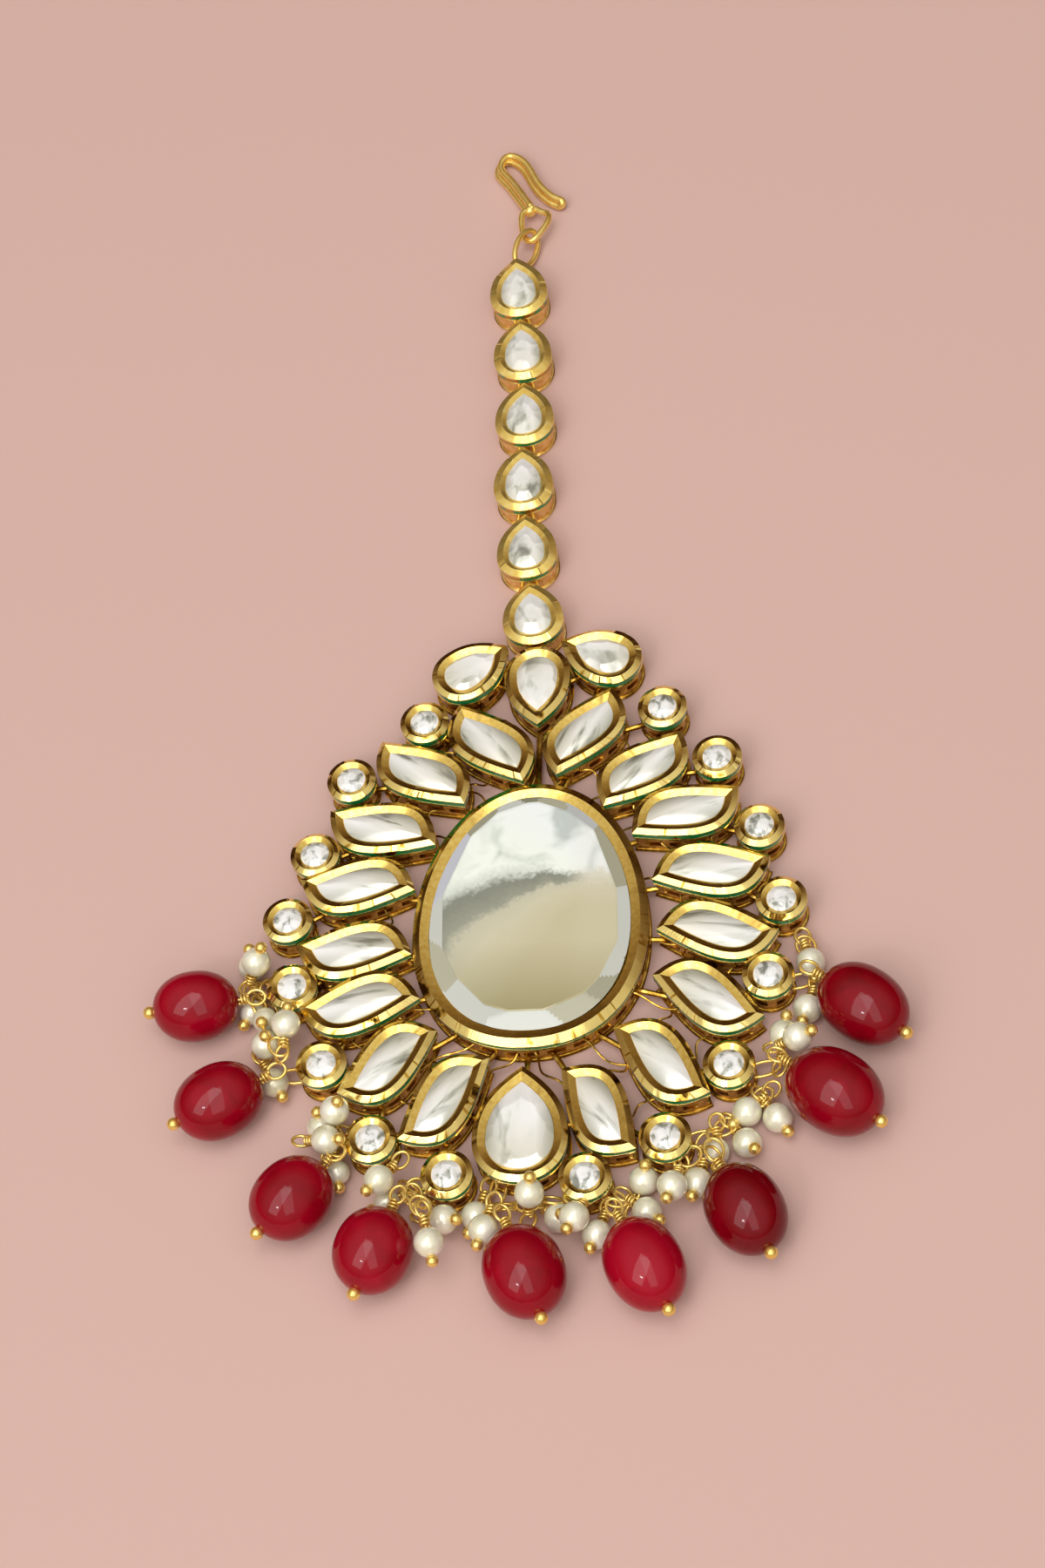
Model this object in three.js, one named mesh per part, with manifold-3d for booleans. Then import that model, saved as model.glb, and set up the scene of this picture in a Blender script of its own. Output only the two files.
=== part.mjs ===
// Maang tikka: an Indian forehead jewel in gilt kundan work.
// Units are millimetres, +Z is up, and the jewel lies on its back on z = 0.
// The middle of the centre setting is x = y = 0; the chain runs towards +Y and the bead fringe is at -Y.

import * as THREE from 'three';
import Module from 'manifold-3d';
import { mergeVertices } from 'three/addons/utils/BufferGeometryUtils.js';

const wasm = await Module();
wasm.setup();

// ---------- driving dimensions ----------
const gap = 0.3;                 // clear space between neighbours
const stoneRoom = 0.5;           // clear space round a stone, seen from above
const slotRoom = 1.0;            // how much thicker a slot is than the wire in it
const leafSteps = 6;             // stretches along each edge of a leaf
const rimTop = 5.2;              // highest point of the rims of the body
const chainRimTop = 4.5;         // the same on the chain cups
const bevelDrop = 0.9;           // how far the outer band falls to the wall
const bevelWide = 0.9;           // outer band, seen from above
const slopeWide = 0.7;           // inner slope, from the ridge down to the stone
const slopeDrop = 0.8;           // how far the inner slope falls
const pocketFloor = 2.6;         // bottom of each stone's pocket
const roundWidth = 7.0;          // rim of the small round settings
const centreSlope = 1.9;         // the centre setting has a wider inner slope
const chainSlope = 0.6;
const chainPocketFloor = 2.9;
const strapWide = 1.0;           // solder straps between settings
const strapTop = 2.2;
const pinWire = 0.5;             // head pins and jump rings of the fringe
const pinHead = 1.5;             // ball at the end of each head pin
const hookWire = 1.15;
const eyeWire = 0.9;
const linkWire = 0.7;            // links between the chain cups
const beadBore = 1.2;
const ringLift = 1.3;            // height of the jump rings of the fringe
const ringSize = 2.6;
const ringPast = 1.1;            // how far a jump ring runs past each of its two points
const coilSize = 1.6;            // where the pins of a bunch are wound on their ring

// ---------- where the settings are ----------
// leaves: outer tip x, y, then inner tip x, y
const leftLeaves = [
  [-11.5, 36.0, -1.9, 22.6],
  [-22.4, 30.3, -10.0, 19.3],
  [-29.1, 19.1, -13.8, 12.8],
  [-32.5, 8.0, -16.3, 5.7],
  [-32.4, -2.3, -16.2, -4.4],
  [-31.3, -12.1, -14.7, -11.3],
  [-25.2, -25.2, -12.0, -16.3],
  [-16.6, -32.3, -4.7, -20.8],
];
const rightLeaves = [
  [10.3, 37.7, 2.8, 23.5],
  [20.3, 29.8, 9.6, 17.9],
  [28.4, 20.2, 13.7, 13.2],
  [32.8, 8.9, 16.6, 5.8],
  [34.0, -2.5, 17.3, -2.0],
  [32.0, -15.6, 16.9, -9.1],
  [24.9, -26.7, 11.8, -16.9],
  [15.2, -34.6, 5.0, -22.8],
];
// small round settings: centre x, y
const leftRounds = [
  [-16.4, 33.2],
  [-26.4, 24.0],
  [-30.8, 12.0],
  [-33.9, 1.6],
  [-32.5, -8.8],
  [-27.6, -20.8],
  [-20.2, -32.1],
  [-9.7, -37.6],
];
const rightRounds = [
  [17.6, 34.0],
  [25.4, 25.2],
  [31.3, 13.8],
  [34.3, 2.0],
  [32.5, -9.5],
  [27.3, -22.7],
  [19.0, -33.0],
  [8.6, -38.4],
];
// pear settings: name, tip x, y, then round end x, y, then width
const pears = [
  ['top', [-0.2, 32.0, -0.6, 45.3], 9.5],
  ['bottom', [-0.2, -22.1, -0.2, -39.0], 12.8],
  ['left', [-4.9, 45.7, -14.8, 38.4], 9.0],
  ['right', [2.8, 46.1, 14.1, 40.9], 9.0],
];
// chain cups from the hook down: tip x, y, then round end x, y
const chainCups = [
  [-6.7, 119.3, -5.6, 107.5],
  [-5.6, 107.0, -4.5, 95.0],
  [-4.5, 94.4, -4.0, 82.8],
  [-4.3, 82.2, -3.6, 70.2],
  [-3.4, 69.6, -2.6, 58.0],
  [-2.4, 57.4, -1.0, 46.2],
];
const chainWidth = 8.9;

// ---------- the fringe ----------
// beads: middle x, y, then length, diameter, and the heading of the pin's ball end in degrees
const beads = [
  [-45.7, -11.4, 11.8, 9.7, -173],
  [-41.2, -26.0, 12.4, 10.0, -151],
  [-30.1, -40.6, 12.0, 10.2, -131],
  [-18.7, -48.4, 11.7, 10.3, -110],
  [1.2, -51.9, 12.7, 10.6, -69],
  [16.7, -51.2, 13.0, 10.3, -63],
  [29.6, -43.9, 12.8, 10.3, -62],
  [41.2, -27.7, 13.8, 11.0, -37],
  [45.1, -14.7, 13.2, 10.1, -39],
];
// one jump ring per bunch: middle x, y, then the point of the setting's wall that it hooks into
const bunchRings = [
  [-38.4, -7.0, -35.4, -8.0],
  [-33.2, -20.8, -30.4, -20.8],
  [-25.0, -29.2, -22.7, -30.7],
  [-14.6, -37.6, -12.2, -37.6],
  [-3.6, -40.2, -3.0, -37.0],
  [12.9, -40.6, 10.9, -39.6],
  [24.4, -31.6, 21.6, -32.4],
  [33.0, -21.6, 30.2, -22.3],
  [37.8, -8.6, 35.2, -9.2],
];
// pearls: bunch, x, y, z, diameter, then the turn and rise of the pin's ball end in degrees
const pearls = [
  [1, -37.5, -5.5, 6.0, 4.0, 46, 55],
  [1, -39.0, -4.0, 2.0, 4.0, 97, 45],
  [1, -38.5, -11.0, 1.75, 3.5, -115, 5],
  [1, -36.0, -13.5, 4.0, 3.5, -90, 55],
  [1, -32.5, -15.5, 6.5, 4.0, 88, 0],
  [2, -35.5, -17.5, 4.5, 4.0, 0, 80],
  [2, -34.5, -22.0, 2.0, 4.0, -60, 0],
  [3, -25.0, -28.5, 6.0, 4.0, 10, 70],
  [3, -27.5, -29.0, 2.0, 4.0, 102, 60],
  [3, -26.0, -32.5, 5.5, 4.0, 8, -60],
  [3, -25.0, -35.5, 1.75, 3.5, -80, 0],
  [4, -18.5, -38.5, 5.5, 4.0, -125, 20],
  [4, -18.0, -40.0, 1.75, 3.5, -150, 0],
  [4, -11.0, -48.5, 7.5, 4.0, -78, -30],
  [4, -10.0, -43.5, 3.5, 4.0, 60, -40],
  [5, -6.0, -42.5, 2.0, 4.0, -110, 0],
  [5, -4.5, -45.5, 4.5, 4.0, -105, 10],
  [5, 1.5, -41.0, 5.5, 4.0, 74, 60],
  [5, 5.0, -43.0, 2.0, 4.0, -43, 70],
  [5, 7.5, -44.5, 5.5, 4.0, -110, 25],
  [6, 10.0, -45.5, 2.0, 4.0, -107, 20],
  [6, 16.5, -42.5, 2.0, 4.0, -42, 20],
  [6, 16.0, -38.0, 2.0, 4.0, 70, 60],
  [7, 20.0, -40.0, 4.5, 4.0, -104, 25],
  [7, 23.0, -38.5, 2.0, 4.0, -104, 20],
  [7, 25.5, -34.0, 1.75, 3.5, -90, 0],
  [7, 29.5, -33.0, 2.0, 4.0, -55, 38],
  [7, 29.5, -28.5, 2.0, 4.0, -136, 0],
  [8, 33.5, -29.5, 2.0, 4.0, -57, 5],
  [8, 34.5, -18.0, 3.5, 4.0, 80, -20],
  [8, 36.5, -20.0, 6.5, 4.0, 0, 40],
  [9, 38.0, -6.5, 2.0, 4.0, -76, 5],
  [9, 37.5, -13.5, 2.0, 4.0, -105, 20],
];

// ---------- the hook ----------
// middle line of the doubled wire, x, y, z
const hookLine = [
  [-5.2, 130.8, 1.8], [-8.4, 136.6, 1.3], [-10.5, 139.9, 1.1], [-10.1, 142.1, 1.1],
  [-8.7, 142.6, 1.1], [-6.6, 140.8, 1.1], [-4.4, 136.4, 1.1], [-2.4, 133.8, 1.1], [-0.7, 132.6, 1.1],
];
const hookPair = [0.25, 0.15, 0.45];  // from the middle line to the upper wire
const eyeLine = [
  [-4.8, 131.0, 2.0], [-6.4, 129.8, 2.1], [-6.2, 126.2, 2.0], [-5.2, 124.2, 2.2],
  [-3.8, 124.6, 2.6], [-2.2, 127.6, 2.6], [-2.3, 129.4, 2.3], [-3.4, 130.2, 2.1],
];
const hookRing = [-5.45, 122.6, 2.2];  // middle of the ring between the hook's eye and the first cup
const hookRingLong = 8.0;
const hookRingWide = 4.6;
const hookRingWire = 0.8;
const hookRingTurn = 73;
const hookRingTilt = 46;         // its left side stands higher

// ---------- finishes ----------
const gold = new THREE.MeshStandardMaterial({
  name: 'gilt_metal', color: 0xc8962e, metalness: 1, roughness: 0.3,
});
const stone = new THREE.MeshStandardMaterial({ name: 'foiled_stone', color: 0xe4e6de, roughness: 0.15 });
const ruby = new THREE.MeshStandardMaterial({ name: 'ruby_bead', color: 0xa01020, roughness: 0.1 });
const pearl = new THREE.MeshStandardMaterial({ name: 'pearl', color: 0xd2cfb2, roughness: 0.3 });

// ---------- outlines ----------
// Each outline is a function of d, how far it is moved inwards from the rim.
const vec = (x, y) => new THREE.Vector2(x, y);

/** Same outline, counter-clockwise. */
function turnLeft(points) {
  return THREE.ShapeUtils.isClockWise(points) ? points.reverse() : points;
}

/** A point of the frame that runs from one tip towards the other: u along, v to its left. */
function along([x0, y0, x1, y1], u, v) {
  const dir = vec(x1 - x0, y1 - y0).normalize();
  return vec(x0 + dir.x * u - dir.y * v, y0 + dir.y * u + dir.x * v);
}

/** S-shaped leaf: one Bezier edge, and the same edge turned half round the middle. */
const leafOutline = (leaf, side) => (d) => {
  const long = Math.hypot(leaf[2] - leaf[0], leaf[3] - leaf[1]);
  const k = long / 16.5;
  const shorter = 1 - (1.3 * d) / (long / 2);
  const slimmer = 1 - d / 4.1;
  const edge = new THREE.CubicBezierCurve(
    vec(0, 0), vec(6.5 * k, 4.2 * side), vec(13 * k, 8.2 * side), vec(long, 0));
  const one = edge.getPoints(leafSteps).slice(0, leafSteps);
  const two = one.map((p) => vec(long - p.x, -p.y));
  return turnLeft([...one, ...two].map((p) => along(
    leaf, long / 2 + (p.x - long / 2) * shorter, p.y * slimmer)));
};

const roundOutline = ([x, y]) => (d) => {
  const n = 10;
  const radius = roundWidth / 2 - d;
  return [...Array(n)].map((_, i) => {
    const a = (2 * Math.PI * (i + 0.5)) / n;
    return vec(x + radius * Math.cos(a), y + radius * Math.sin(a));
  });
};

/** Pear: from the tip out to the widest place, then a half oval round the far end. */
const pearOutline = (ends, width) => (d) => {
  const long = Math.hypot(ends[2] - ends[0], ends[3] - ends[1]);
  const waist = long * 0.63;
  const half = width / 2 - d;
  const tip = 1.27 * d;
  const end = long - d;
  const flank = new THREE.CubicBezierCurve(
    vec(tip, 0), vec(tip + (waist - tip) * 0.32, half * 0.72),
    vec(tip + (waist - tip) * 0.6, half), vec(waist, half));
  const round = new THREE.CubicBezierCurve(
    vec(waist, half), vec(waist + (end - waist) * 0.6, half), vec(end, half * 0.55), vec(end, 0));
  const one = [...flank.getPoints(3).slice(0, 3), ...round.getPoints(3)];
  const two = one.slice(1, -1).reverse().map((p) => vec(p.x, -p.y));
  return turnLeft([...one, ...two].map((p) => along(ends, p.x, p.y)));
};

/** Centre setting: an oval, a little fuller at the top than at the bottom. */
const centreOutline = (d) => {
  const side = 16.3 - d;
  const top = 22.1 - d;
  const foot = -19.3 + d;
  const upper = new THREE.CubicBezierCurve(
    vec(0, top), vec(side * 0.57, top), vec(side, 11.5), vec(side, -1));
  const lower = new THREE.CubicBezierCurve(
    vec(side, -1), vec(side, -12.5), vec(side * 0.6, foot), vec(0, foot));
  const right = [...upper.getPoints(6).slice(0, 6), ...lower.getPoints(6)];
  const left = right.slice(1, -1).reverse().map((p) => vec(-p.x, p.y));
  return turnLeft([...right, ...left]);
};

// ---------- solids ----------
/** Closed solid through rings of equal point count; the first and last rings are capped. */
function loft(rings) {
  const n = rings[0].points.length;
  const position = [];
  const index = [];
  for (const ring of rings) {
    for (const p of ring.points) position.push(p.x, p.y, ring.z);
  }
  for (let r = 0; r + 1 < rings.length; r += 1) {
    for (let i = 0; i < n; i += 1) {
      const a = r * n + i;
      const b = r * n + ((i + 1) % n);
      index.push(a, b, b + n, a, b + n, a + n);
    }
  }
  const last = (rings.length - 1) * n;
  for (const [a, b, c] of THREE.ShapeUtils.triangulateShape(rings[0].points, [])) index.push(a, c, b);
  for (const [a, b, c] of THREE.ShapeUtils.triangulateShape(rings.at(-1).points, [])) {
    index.push(last + a, last + b, last + c);
  }
  const geometry = new THREE.BufferGeometry();
  geometry.setAttribute('position', new THREE.Float32BufferAttribute(position, 3));
  geometry.setIndex(index);
  return geometry;
}

/** A setting: upright wall, outer band, ridge, inner slope, and a pocket for the stone. */
function cup(outline, top, slope = slopeWide, floor = pocketFloor) {
  const seat = outline(bevelWide + slope);
  return loft([
    { points: outline(0), z: 0 },
    { points: outline(0), z: top - bevelDrop },
    { points: outline(bevelWide), z: top },
    { points: seat, z: top - slopeDrop },
    { points: seat, z: floor },
  ]);
}

/** A small round setting with its stone left in, domed. */
function roundCup(place) {
  const outline = roundOutline(place);
  return loft([
    { points: outline(0), z: 0 },
    { points: outline(0), z: rimTop - bevelDrop },
    { points: outline(bevelWide), z: rimTop },
    { points: outline(bevelWide + 0.55), z: rimTop - 0.6 },
    { points: outline(bevelWide + 1.6), z: rimTop - 0.2 },
  ]);
}

/** The stone for a pocket: clear of the walls all round, with a bevelled top. */
function stoneSolid(outline, top, slope = slopeWide, floor = pocketFloor) {
  const edge = bevelWide + slope + stoneRoom;
  return loft([
    { points: outline(edge), z: floor + gap },
    { points: outline(edge), z: top - slopeDrop - 0.1 },
    { points: outline(edge + 0.8), z: top - 0.3 },
  ]);
}

/** Ring of wire lying level or tilted: an oval path with a square or six-sided wire. */
function ovalRing(x, y, z, long, wide, heading, wire, sides = 4, steps = 10, tilt = 0) {
  const ring = new THREE.TorusGeometry(1, 0.5, sides, steps);
  const place = ring.attributes.position;
  for (let i = 0; i < place.count; i += 1) {
    const p = new THREE.Vector3().fromBufferAttribute(place, i);
    const a = Math.atan2(p.y, p.x);
    const out = Math.hypot(p.x, p.y) - 1;
    const u = (long / 2 - wire / 2 + out * wire) * Math.cos(a);
    const v = (wide / 2 - wire / 2 + out * wire) * Math.sin(a);
    place.setXYZ(i, u, v, p.z * wire);
  }
  ring.rotateX(THREE.MathUtils.degToRad(tilt));
  ring.rotateZ(THREE.MathUtils.degToRad(heading));
  ring.translate(x, y, z);
  return ring;
}

/** Straight piece of wire between two points. */
function rod(from, to, wire, sides = 5) {
  const dir = to.clone().sub(from);
  const geometry = new THREE.CylinderGeometry(wire / 2, wire / 2, dir.length(), sides);
  geometry.applyQuaternion(new THREE.Quaternion().setFromUnitVectors(
    new THREE.Vector3(0, 1, 0), dir.clone().normalize()));
  const middle = from.clone().add(to).multiplyScalar(0.5);
  return geometry.translate(middle.x, middle.y, middle.z);
}

function ball(at, diameter, detail) {
  return new THREE.IcosahedronGeometry(diameter / 2, detail).translate(at.x, at.y, at.z);
}

function toManifold(geometry) {
  const merged = mergeVertices(strip(geometry.clone()), 1e-4);
  return new wasm.Manifold(new wasm.Mesh({
    numProp: 3,
    vertProperties: new Float32Array(merged.attributes.position.array),
    triVerts: new Uint32Array(merged.index.array),
  }));
}

function strip(geometry) {
  geometry.deleteAttribute('normal');
  geometry.deleteAttribute('uv');
  return geometry;
}

function fromManifold(solid) {
  const mesh = solid.getMesh();
  const geometry = new THREE.BufferGeometry();
  geometry.setAttribute('position', new THREE.BufferAttribute(new Float32Array(mesh.vertProperties), 3));
  geometry.setIndex(new THREE.BufferAttribute(new Uint32Array(mesh.triVerts), 1));
  return geometry;
}

function join(geometries) {
  return fromManifold(geometries.map(toManifold).reduce((all, next) => all.add(next)));
}

function cut(geometry, tools) {
  const left = tools.map(toManifold).reduce((rest, tool) => rest.subtract(tool), toManifold(geometry));
  return fromManifold(left);
}

// ---------- the body of the jewel ----------
const midOf = ([x0, y0, x1, y1]) => vec((x0 + x1) / 2, (y0 + y1) / 2);

function strap(a, b) {
  const dir = b.clone().sub(a);
  const box = new THREE.BoxGeometry(dir.length(), strapWide, strapTop - 0.6);
  box.rotateZ(Math.atan2(dir.y, dir.x));
  return box.translate((a.x + b.x) / 2, (a.y + b.y) / 2, (strapTop + 0.6) / 2);
}

/** Level ring through the wall of a setting: its cutter is the same ring with room round it. */
function bunchRing([x, y, hookX, hookY], room = 0) {
  const heading = THREE.MathUtils.radToDeg(Math.atan2(hookY - y, hookX - x));
  const reach = Math.hypot(hookX - x, hookY - y);
  const midX = (x + hookX) / 2;
  const midY = (y + hookY) / 2;
  return ovalRing(
    midX, midY, ringLift, reach + 2 * ringPast + room, ringSize + room, heading, pinWire + room);
}

function bodyFrame() {
  const solids = [cup(centreOutline, rimTop, centreSlope)];
  for (const [side, leaves, rounds] of [[1, leftLeaves, leftRounds], [-1, rightLeaves, rightRounds]]) {
    leaves.forEach((leaf, i) => {
      const middle = midOf(leaf);
      solids.push(cup(leafOutline(leaf, side), rimTop));
      solids.push(strap(middle, vec(0, leaf[3] * 0.6)));
      solids.push(roundCup(rounds[i]));
      solids.push(strap(middle, vec(...rounds[i])));
      if (i + 1 < leaves.length) solids.push(strap(vec(...rounds[i]), midOf(leaves[i + 1])));
    });
  }
  for (const [, ends, width] of pears) solids.push(cup(pearOutline(ends, width), rimTop));
  const middle = pears.map(([, ends]) => midOf(ends));
  solids.push(strap(middle[0], vec(0, 18)));
  solids.push(strap(middle[1], vec(0, -16)));
  solids.push(strap(middle[0], middle[2]));
  solids.push(strap(middle[0], middle[3]));
  solids.push(strap(middle[2], midOf(leftLeaves[0])));
  solids.push(strap(middle[3], midOf(rightLeaves[0])));
  solids.push(strap(middle[1], midOf(leftLeaves[7])));
  solids.push(strap(middle[1], midOf(rightLeaves[7])));
  const slots = bunchRings.map((ring) => bunchRing(ring, slotRoom));
  return cut(join(solids), [...slots, chainLink(6, slotRoom)]);
}

// ---------- chain ----------
/** Link under joint i, from the round end of cup i into the next tip. */
function chainLink(i, room = 0) {
  const [, , x, y] = chainCups[i - 1];
  return ovalRing(x, y - 0.3, 1.6, 4.4 + room, 3.2 + room, 90, linkWire + room);
}

function firstRing(room = 0) {
  const size = [hookRingLong + room, hookRingWide + room];
  return ovalRing(...hookRing, ...size, hookRingTurn, hookRingWire + room, 5, 14, hookRingTilt);
}

function chainCup(i) {
  const outline = pearOutline(chainCups[i], chainWidth);
  const above = i === 0 ? firstRing(slotRoom) : chainLink(i, slotRoom);
  return cut(cup(outline, chainRimTop, chainSlope, chainPocketFloor), [above, chainLink(i + 1, slotRoom)]);
}

// ---------- hook ----------
function wirePath(points, wire, steps, closed = false) {
  const curve = new THREE.CatmullRomCurve3(points, closed);
  const n = 5;
  const section = new THREE.Shape([...Array(n)].map((_, k) => vec(
    (wire / 2) * Math.cos((2 * Math.PI * k) / n), (wire / 2) * Math.sin((2 * Math.PI * k) / n))));
  return new THREE.ExtrudeGeometry(section, { extrudePath: curve, steps, bevelEnabled: false });
}

/** Doubled wire bent into a hook, joined at its tip, with a closed eye at its foot. */
function hook() {
  const [upper, lower] = [1, -1].map((side) => hookLine.map((p) => new THREE.Vector3(...p).add(
    new THREE.Vector3(...hookPair).multiplyScalar(side))));
  const eye = eyeLine.map((p) => new THREE.Vector3(...p));
  return join([
    wirePath(upper, hookWire, 16),
    wirePath(lower, hookWire, 16),
    rod(upper.at(-1), lower.at(-1), hookWire),
    wirePath(eye, eyeWire, 14, true),
  ]);
}

// ---------- fringe ----------
/** Rounded barrel with a bore along it. */
function bead([x, y, long, wide, heading]) {
  const rows = 8;
  const profile = [...Array(rows)].map((_, i) => {
    const t = -Math.cos((Math.PI * i) / (rows - 1));
    const fat = (wide / 2) * Math.pow(1 - Math.pow(Math.abs(t), 2.15), 0.49);
    return vec(Math.max(fat, beadBore / 2 + 0.7), (t * long) / 2);
  });
  const bore = [vec(beadBore / 2, long / 2), vec(beadBore / 2, -long / 2)];
  const geometry = new THREE.LatheGeometry([...profile, ...bore, profile[0]], 10);
  geometry.rotateZ(-Math.PI / 2);
  geometry.rotateZ(THREE.MathUtils.degToRad(heading));
  return geometry.translate(x, y, wide / 2);
}

/** Bead pin: jump ring, then the mouth of the bore, along the bead, and a ball past its far end. */
function beadPin([x, y, long, wide, heading], ringAt) {
  const a = THREE.MathUtils.degToRad(heading);
  const at = (s) => new THREE.Vector3(x + s * Math.cos(a), y + s * Math.sin(a), wide / 2);
  const mouth = at(-long / 2 - 0.8);
  const far = at(long / 2 + 1.2);
  return [rod(ringAt, mouth, pinWire), rod(mouth, far, pinWire), ball(far, 1.9, 0), ball(mouth, 0.8, 0)];
}

/** Pearl pin: from the ball, through the pearl, and on to the jump ring. */
function pearlPin([, x, y, z, wide, turn, rise], ringAt) {
  const dir = new THREE.Vector3().setFromSphericalCoords(
    1, THREE.MathUtils.degToRad(90 - rise), THREE.MathUtils.degToRad(90 + turn));
  dir.set(dir.x, -dir.z, dir.y);
  const middle = new THREE.Vector3(x, y, z);
  const head = middle.clone().addScaledVector(dir, wide / 2 + 0.3);
  return [ball(middle, wide, 1), ball(head, pinHead, 0), rod(middle, ringAt, pinWire, 3)];
}

function bunch(i) {
  const [x, y, hookX, hookY] = bunchRings[i];
  const outward = new THREE.Vector3(x - hookX, y - hookY, 0).setLength(ringPast - pinWire / 2);
  const ringAt = new THREE.Vector3(x, y, ringLift).add(outward);
  const solids = [bunchRing(bunchRings[i]), ball(ringAt, coilSize, 0), ...beadPin(beads[i], ringAt)];
  for (const row of pearls) {
    if (row[0] === i + 1) solids.push(...pearlPin(row, ringAt));
  }
  return join(solids);
}

// ---------- assembly ----------
const maangTikka = new THREE.Group();
maangTikka.name = 'maang_tikka';

function addPart(name, geometry, material) {
  const mesh = new THREE.Mesh(geometry, material);
  mesh.name = name;
  maangTikka.add(mesh);
}

addPart('body_frame', bodyFrame(), gold);
addPart('centre_stone', stoneSolid(centreOutline, rimTop, centreSlope), stone);
for (const [name, ends, width] of pears) {
  addPart(`pear_stone_${name}`, stoneSolid(pearOutline(ends, width), rimTop), stone);
}
leftLeaves.forEach((leaf, i) => {
  addPart(`leaf_stone_left_${i + 1}`, stoneSolid(leafOutline(leaf, 1), rimTop), stone);
});
rightLeaves.forEach((leaf, i) => {
  addPart(`leaf_stone_right_${i + 1}`, stoneSolid(leafOutline(leaf, -1), rimTop), stone);
});
chainCups.forEach((place, i) => {
  const outline = pearOutline(place, chainWidth);
  addPart(`chain_cup_${i + 1}`, chainCup(i), gold);
  addPart(`chain_stone_${i + 1}`, stoneSolid(outline, chainRimTop, chainSlope, chainPocketFloor), stone);
  addPart(`chain_link_${i + 1}`, chainLink(i + 1), gold);
});
addPart('hook', hook(), gold);
addPart('hook_ring', firstRing(), gold);
beads.forEach((row, i) => {
  addPart(`ruby_bead_${i + 1}`, bead(row), ruby);
  addPart(`pearl_bunch_${i + 1}`, bunch(i), pearl);
});

// The origin moves to the middle of the whole jewel's box, on the surface that it lies on.
const box = new THREE.Box3().setFromObject(maangTikka);
const middle = box.getCenter(new THREE.Vector3());
for (const mesh of maangTikka.children) mesh.geometry.translate(-middle.x, -middle.y, -box.min.z);

export default maangTikka;
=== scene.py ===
# %% [markdown]
# # A maang tikka in gilt kundan work
# A maang tikka is worn on the parting, with its flower on the forehead. In kundan work each stone lies
# on crumpled silver foil in a deep closed setting, and a soft bright rim is pressed round it by hand.
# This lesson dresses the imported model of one, settings first, then stones, chain, hook and fringe.
# Lengths are in millimetres until the last moment, and the maths is done on whole numpy arrays.

# %% Load the frame
import math

import bpy
import numpy as np
from mathutils import Matrix, Vector


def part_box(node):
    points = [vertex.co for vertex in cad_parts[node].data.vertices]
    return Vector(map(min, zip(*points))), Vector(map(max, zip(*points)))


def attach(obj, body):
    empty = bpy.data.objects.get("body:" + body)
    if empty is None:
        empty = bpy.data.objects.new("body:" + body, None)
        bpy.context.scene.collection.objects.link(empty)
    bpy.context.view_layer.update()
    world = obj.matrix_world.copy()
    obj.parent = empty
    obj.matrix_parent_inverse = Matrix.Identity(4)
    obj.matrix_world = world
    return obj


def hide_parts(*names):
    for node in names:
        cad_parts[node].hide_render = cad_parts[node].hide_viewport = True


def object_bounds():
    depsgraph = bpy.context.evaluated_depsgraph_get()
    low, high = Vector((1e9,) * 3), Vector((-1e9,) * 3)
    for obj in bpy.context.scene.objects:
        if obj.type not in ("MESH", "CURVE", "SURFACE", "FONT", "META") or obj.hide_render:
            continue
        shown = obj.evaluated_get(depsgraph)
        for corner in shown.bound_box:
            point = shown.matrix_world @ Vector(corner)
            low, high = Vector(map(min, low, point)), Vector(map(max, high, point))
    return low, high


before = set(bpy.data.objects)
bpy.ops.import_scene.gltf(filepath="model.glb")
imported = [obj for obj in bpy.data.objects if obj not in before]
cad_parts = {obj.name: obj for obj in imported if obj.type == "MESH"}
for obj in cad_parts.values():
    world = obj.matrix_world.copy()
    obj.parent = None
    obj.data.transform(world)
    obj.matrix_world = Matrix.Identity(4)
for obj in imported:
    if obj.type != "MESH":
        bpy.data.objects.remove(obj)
cad_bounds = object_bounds()
MM = 0.001
corners = [tuple(round(v, 4) for v in corner) for corner in cad_bounds]
print("frame:", len(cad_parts), "nodes, box", corners)

# %% [markdown]
# ## One origin for the whole flower
# Every place below is given from the middle of the centre setting, which is how a setter lays a flower
# out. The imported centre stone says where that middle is: its box is 1.4 mm higher up the chain,
# because the oval is fuller at the top.

# %% The middle of the flower
FULLER_TOP = 1.4
stone_low, stone_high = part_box("centre_stone")
FLOWER = np.array([
    (stone_low.x + stone_high.x) / 2 / MM,
    (stone_low.y + stone_high.y) / 2 / MM - FULLER_TOP,
    0.0,
])
rng = np.random.default_rng(7)
print("middle of the flower, mm:", FLOWER.round(2))

# %% [markdown]
# ## Directions and lengths
# Outlines, wires and lights all need the same few sums on directions, so these come first.

# %% Directions and lengths
def unit(v):
    """Each vector divided by its length."""
    v = np.asarray(v, float)
    return v / np.linalg.norm(v, axis=-1, keepdims=True)


def left_of(v):
    """Each plan direction after a quarter turn to the left."""
    return np.stack([-v[..., 1], v[..., 0]], -1)


def pointing(turn, rise=0.0):
    """The direction at that turn from +X and that rise from the plan, in degrees."""
    s, e = math.radians(turn), math.radians(rise)
    return np.array([math.cos(e) * math.cos(s), math.cos(e) * math.sin(s), math.sin(e)])


def turn_of(v):
    """The turn of a direction from +X, in degrees."""
    return math.degrees(math.atan2(v[1], v[0]))


def run_along(line):
    """The length from the first point of a line to each of its points."""
    return np.concatenate([[0], np.cumsum(np.linalg.norm(np.diff(line, axis=0), axis=1))])


print("a turn of 90 and a rise of 30 degrees points to", pointing(90, 30).round(2))

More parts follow.
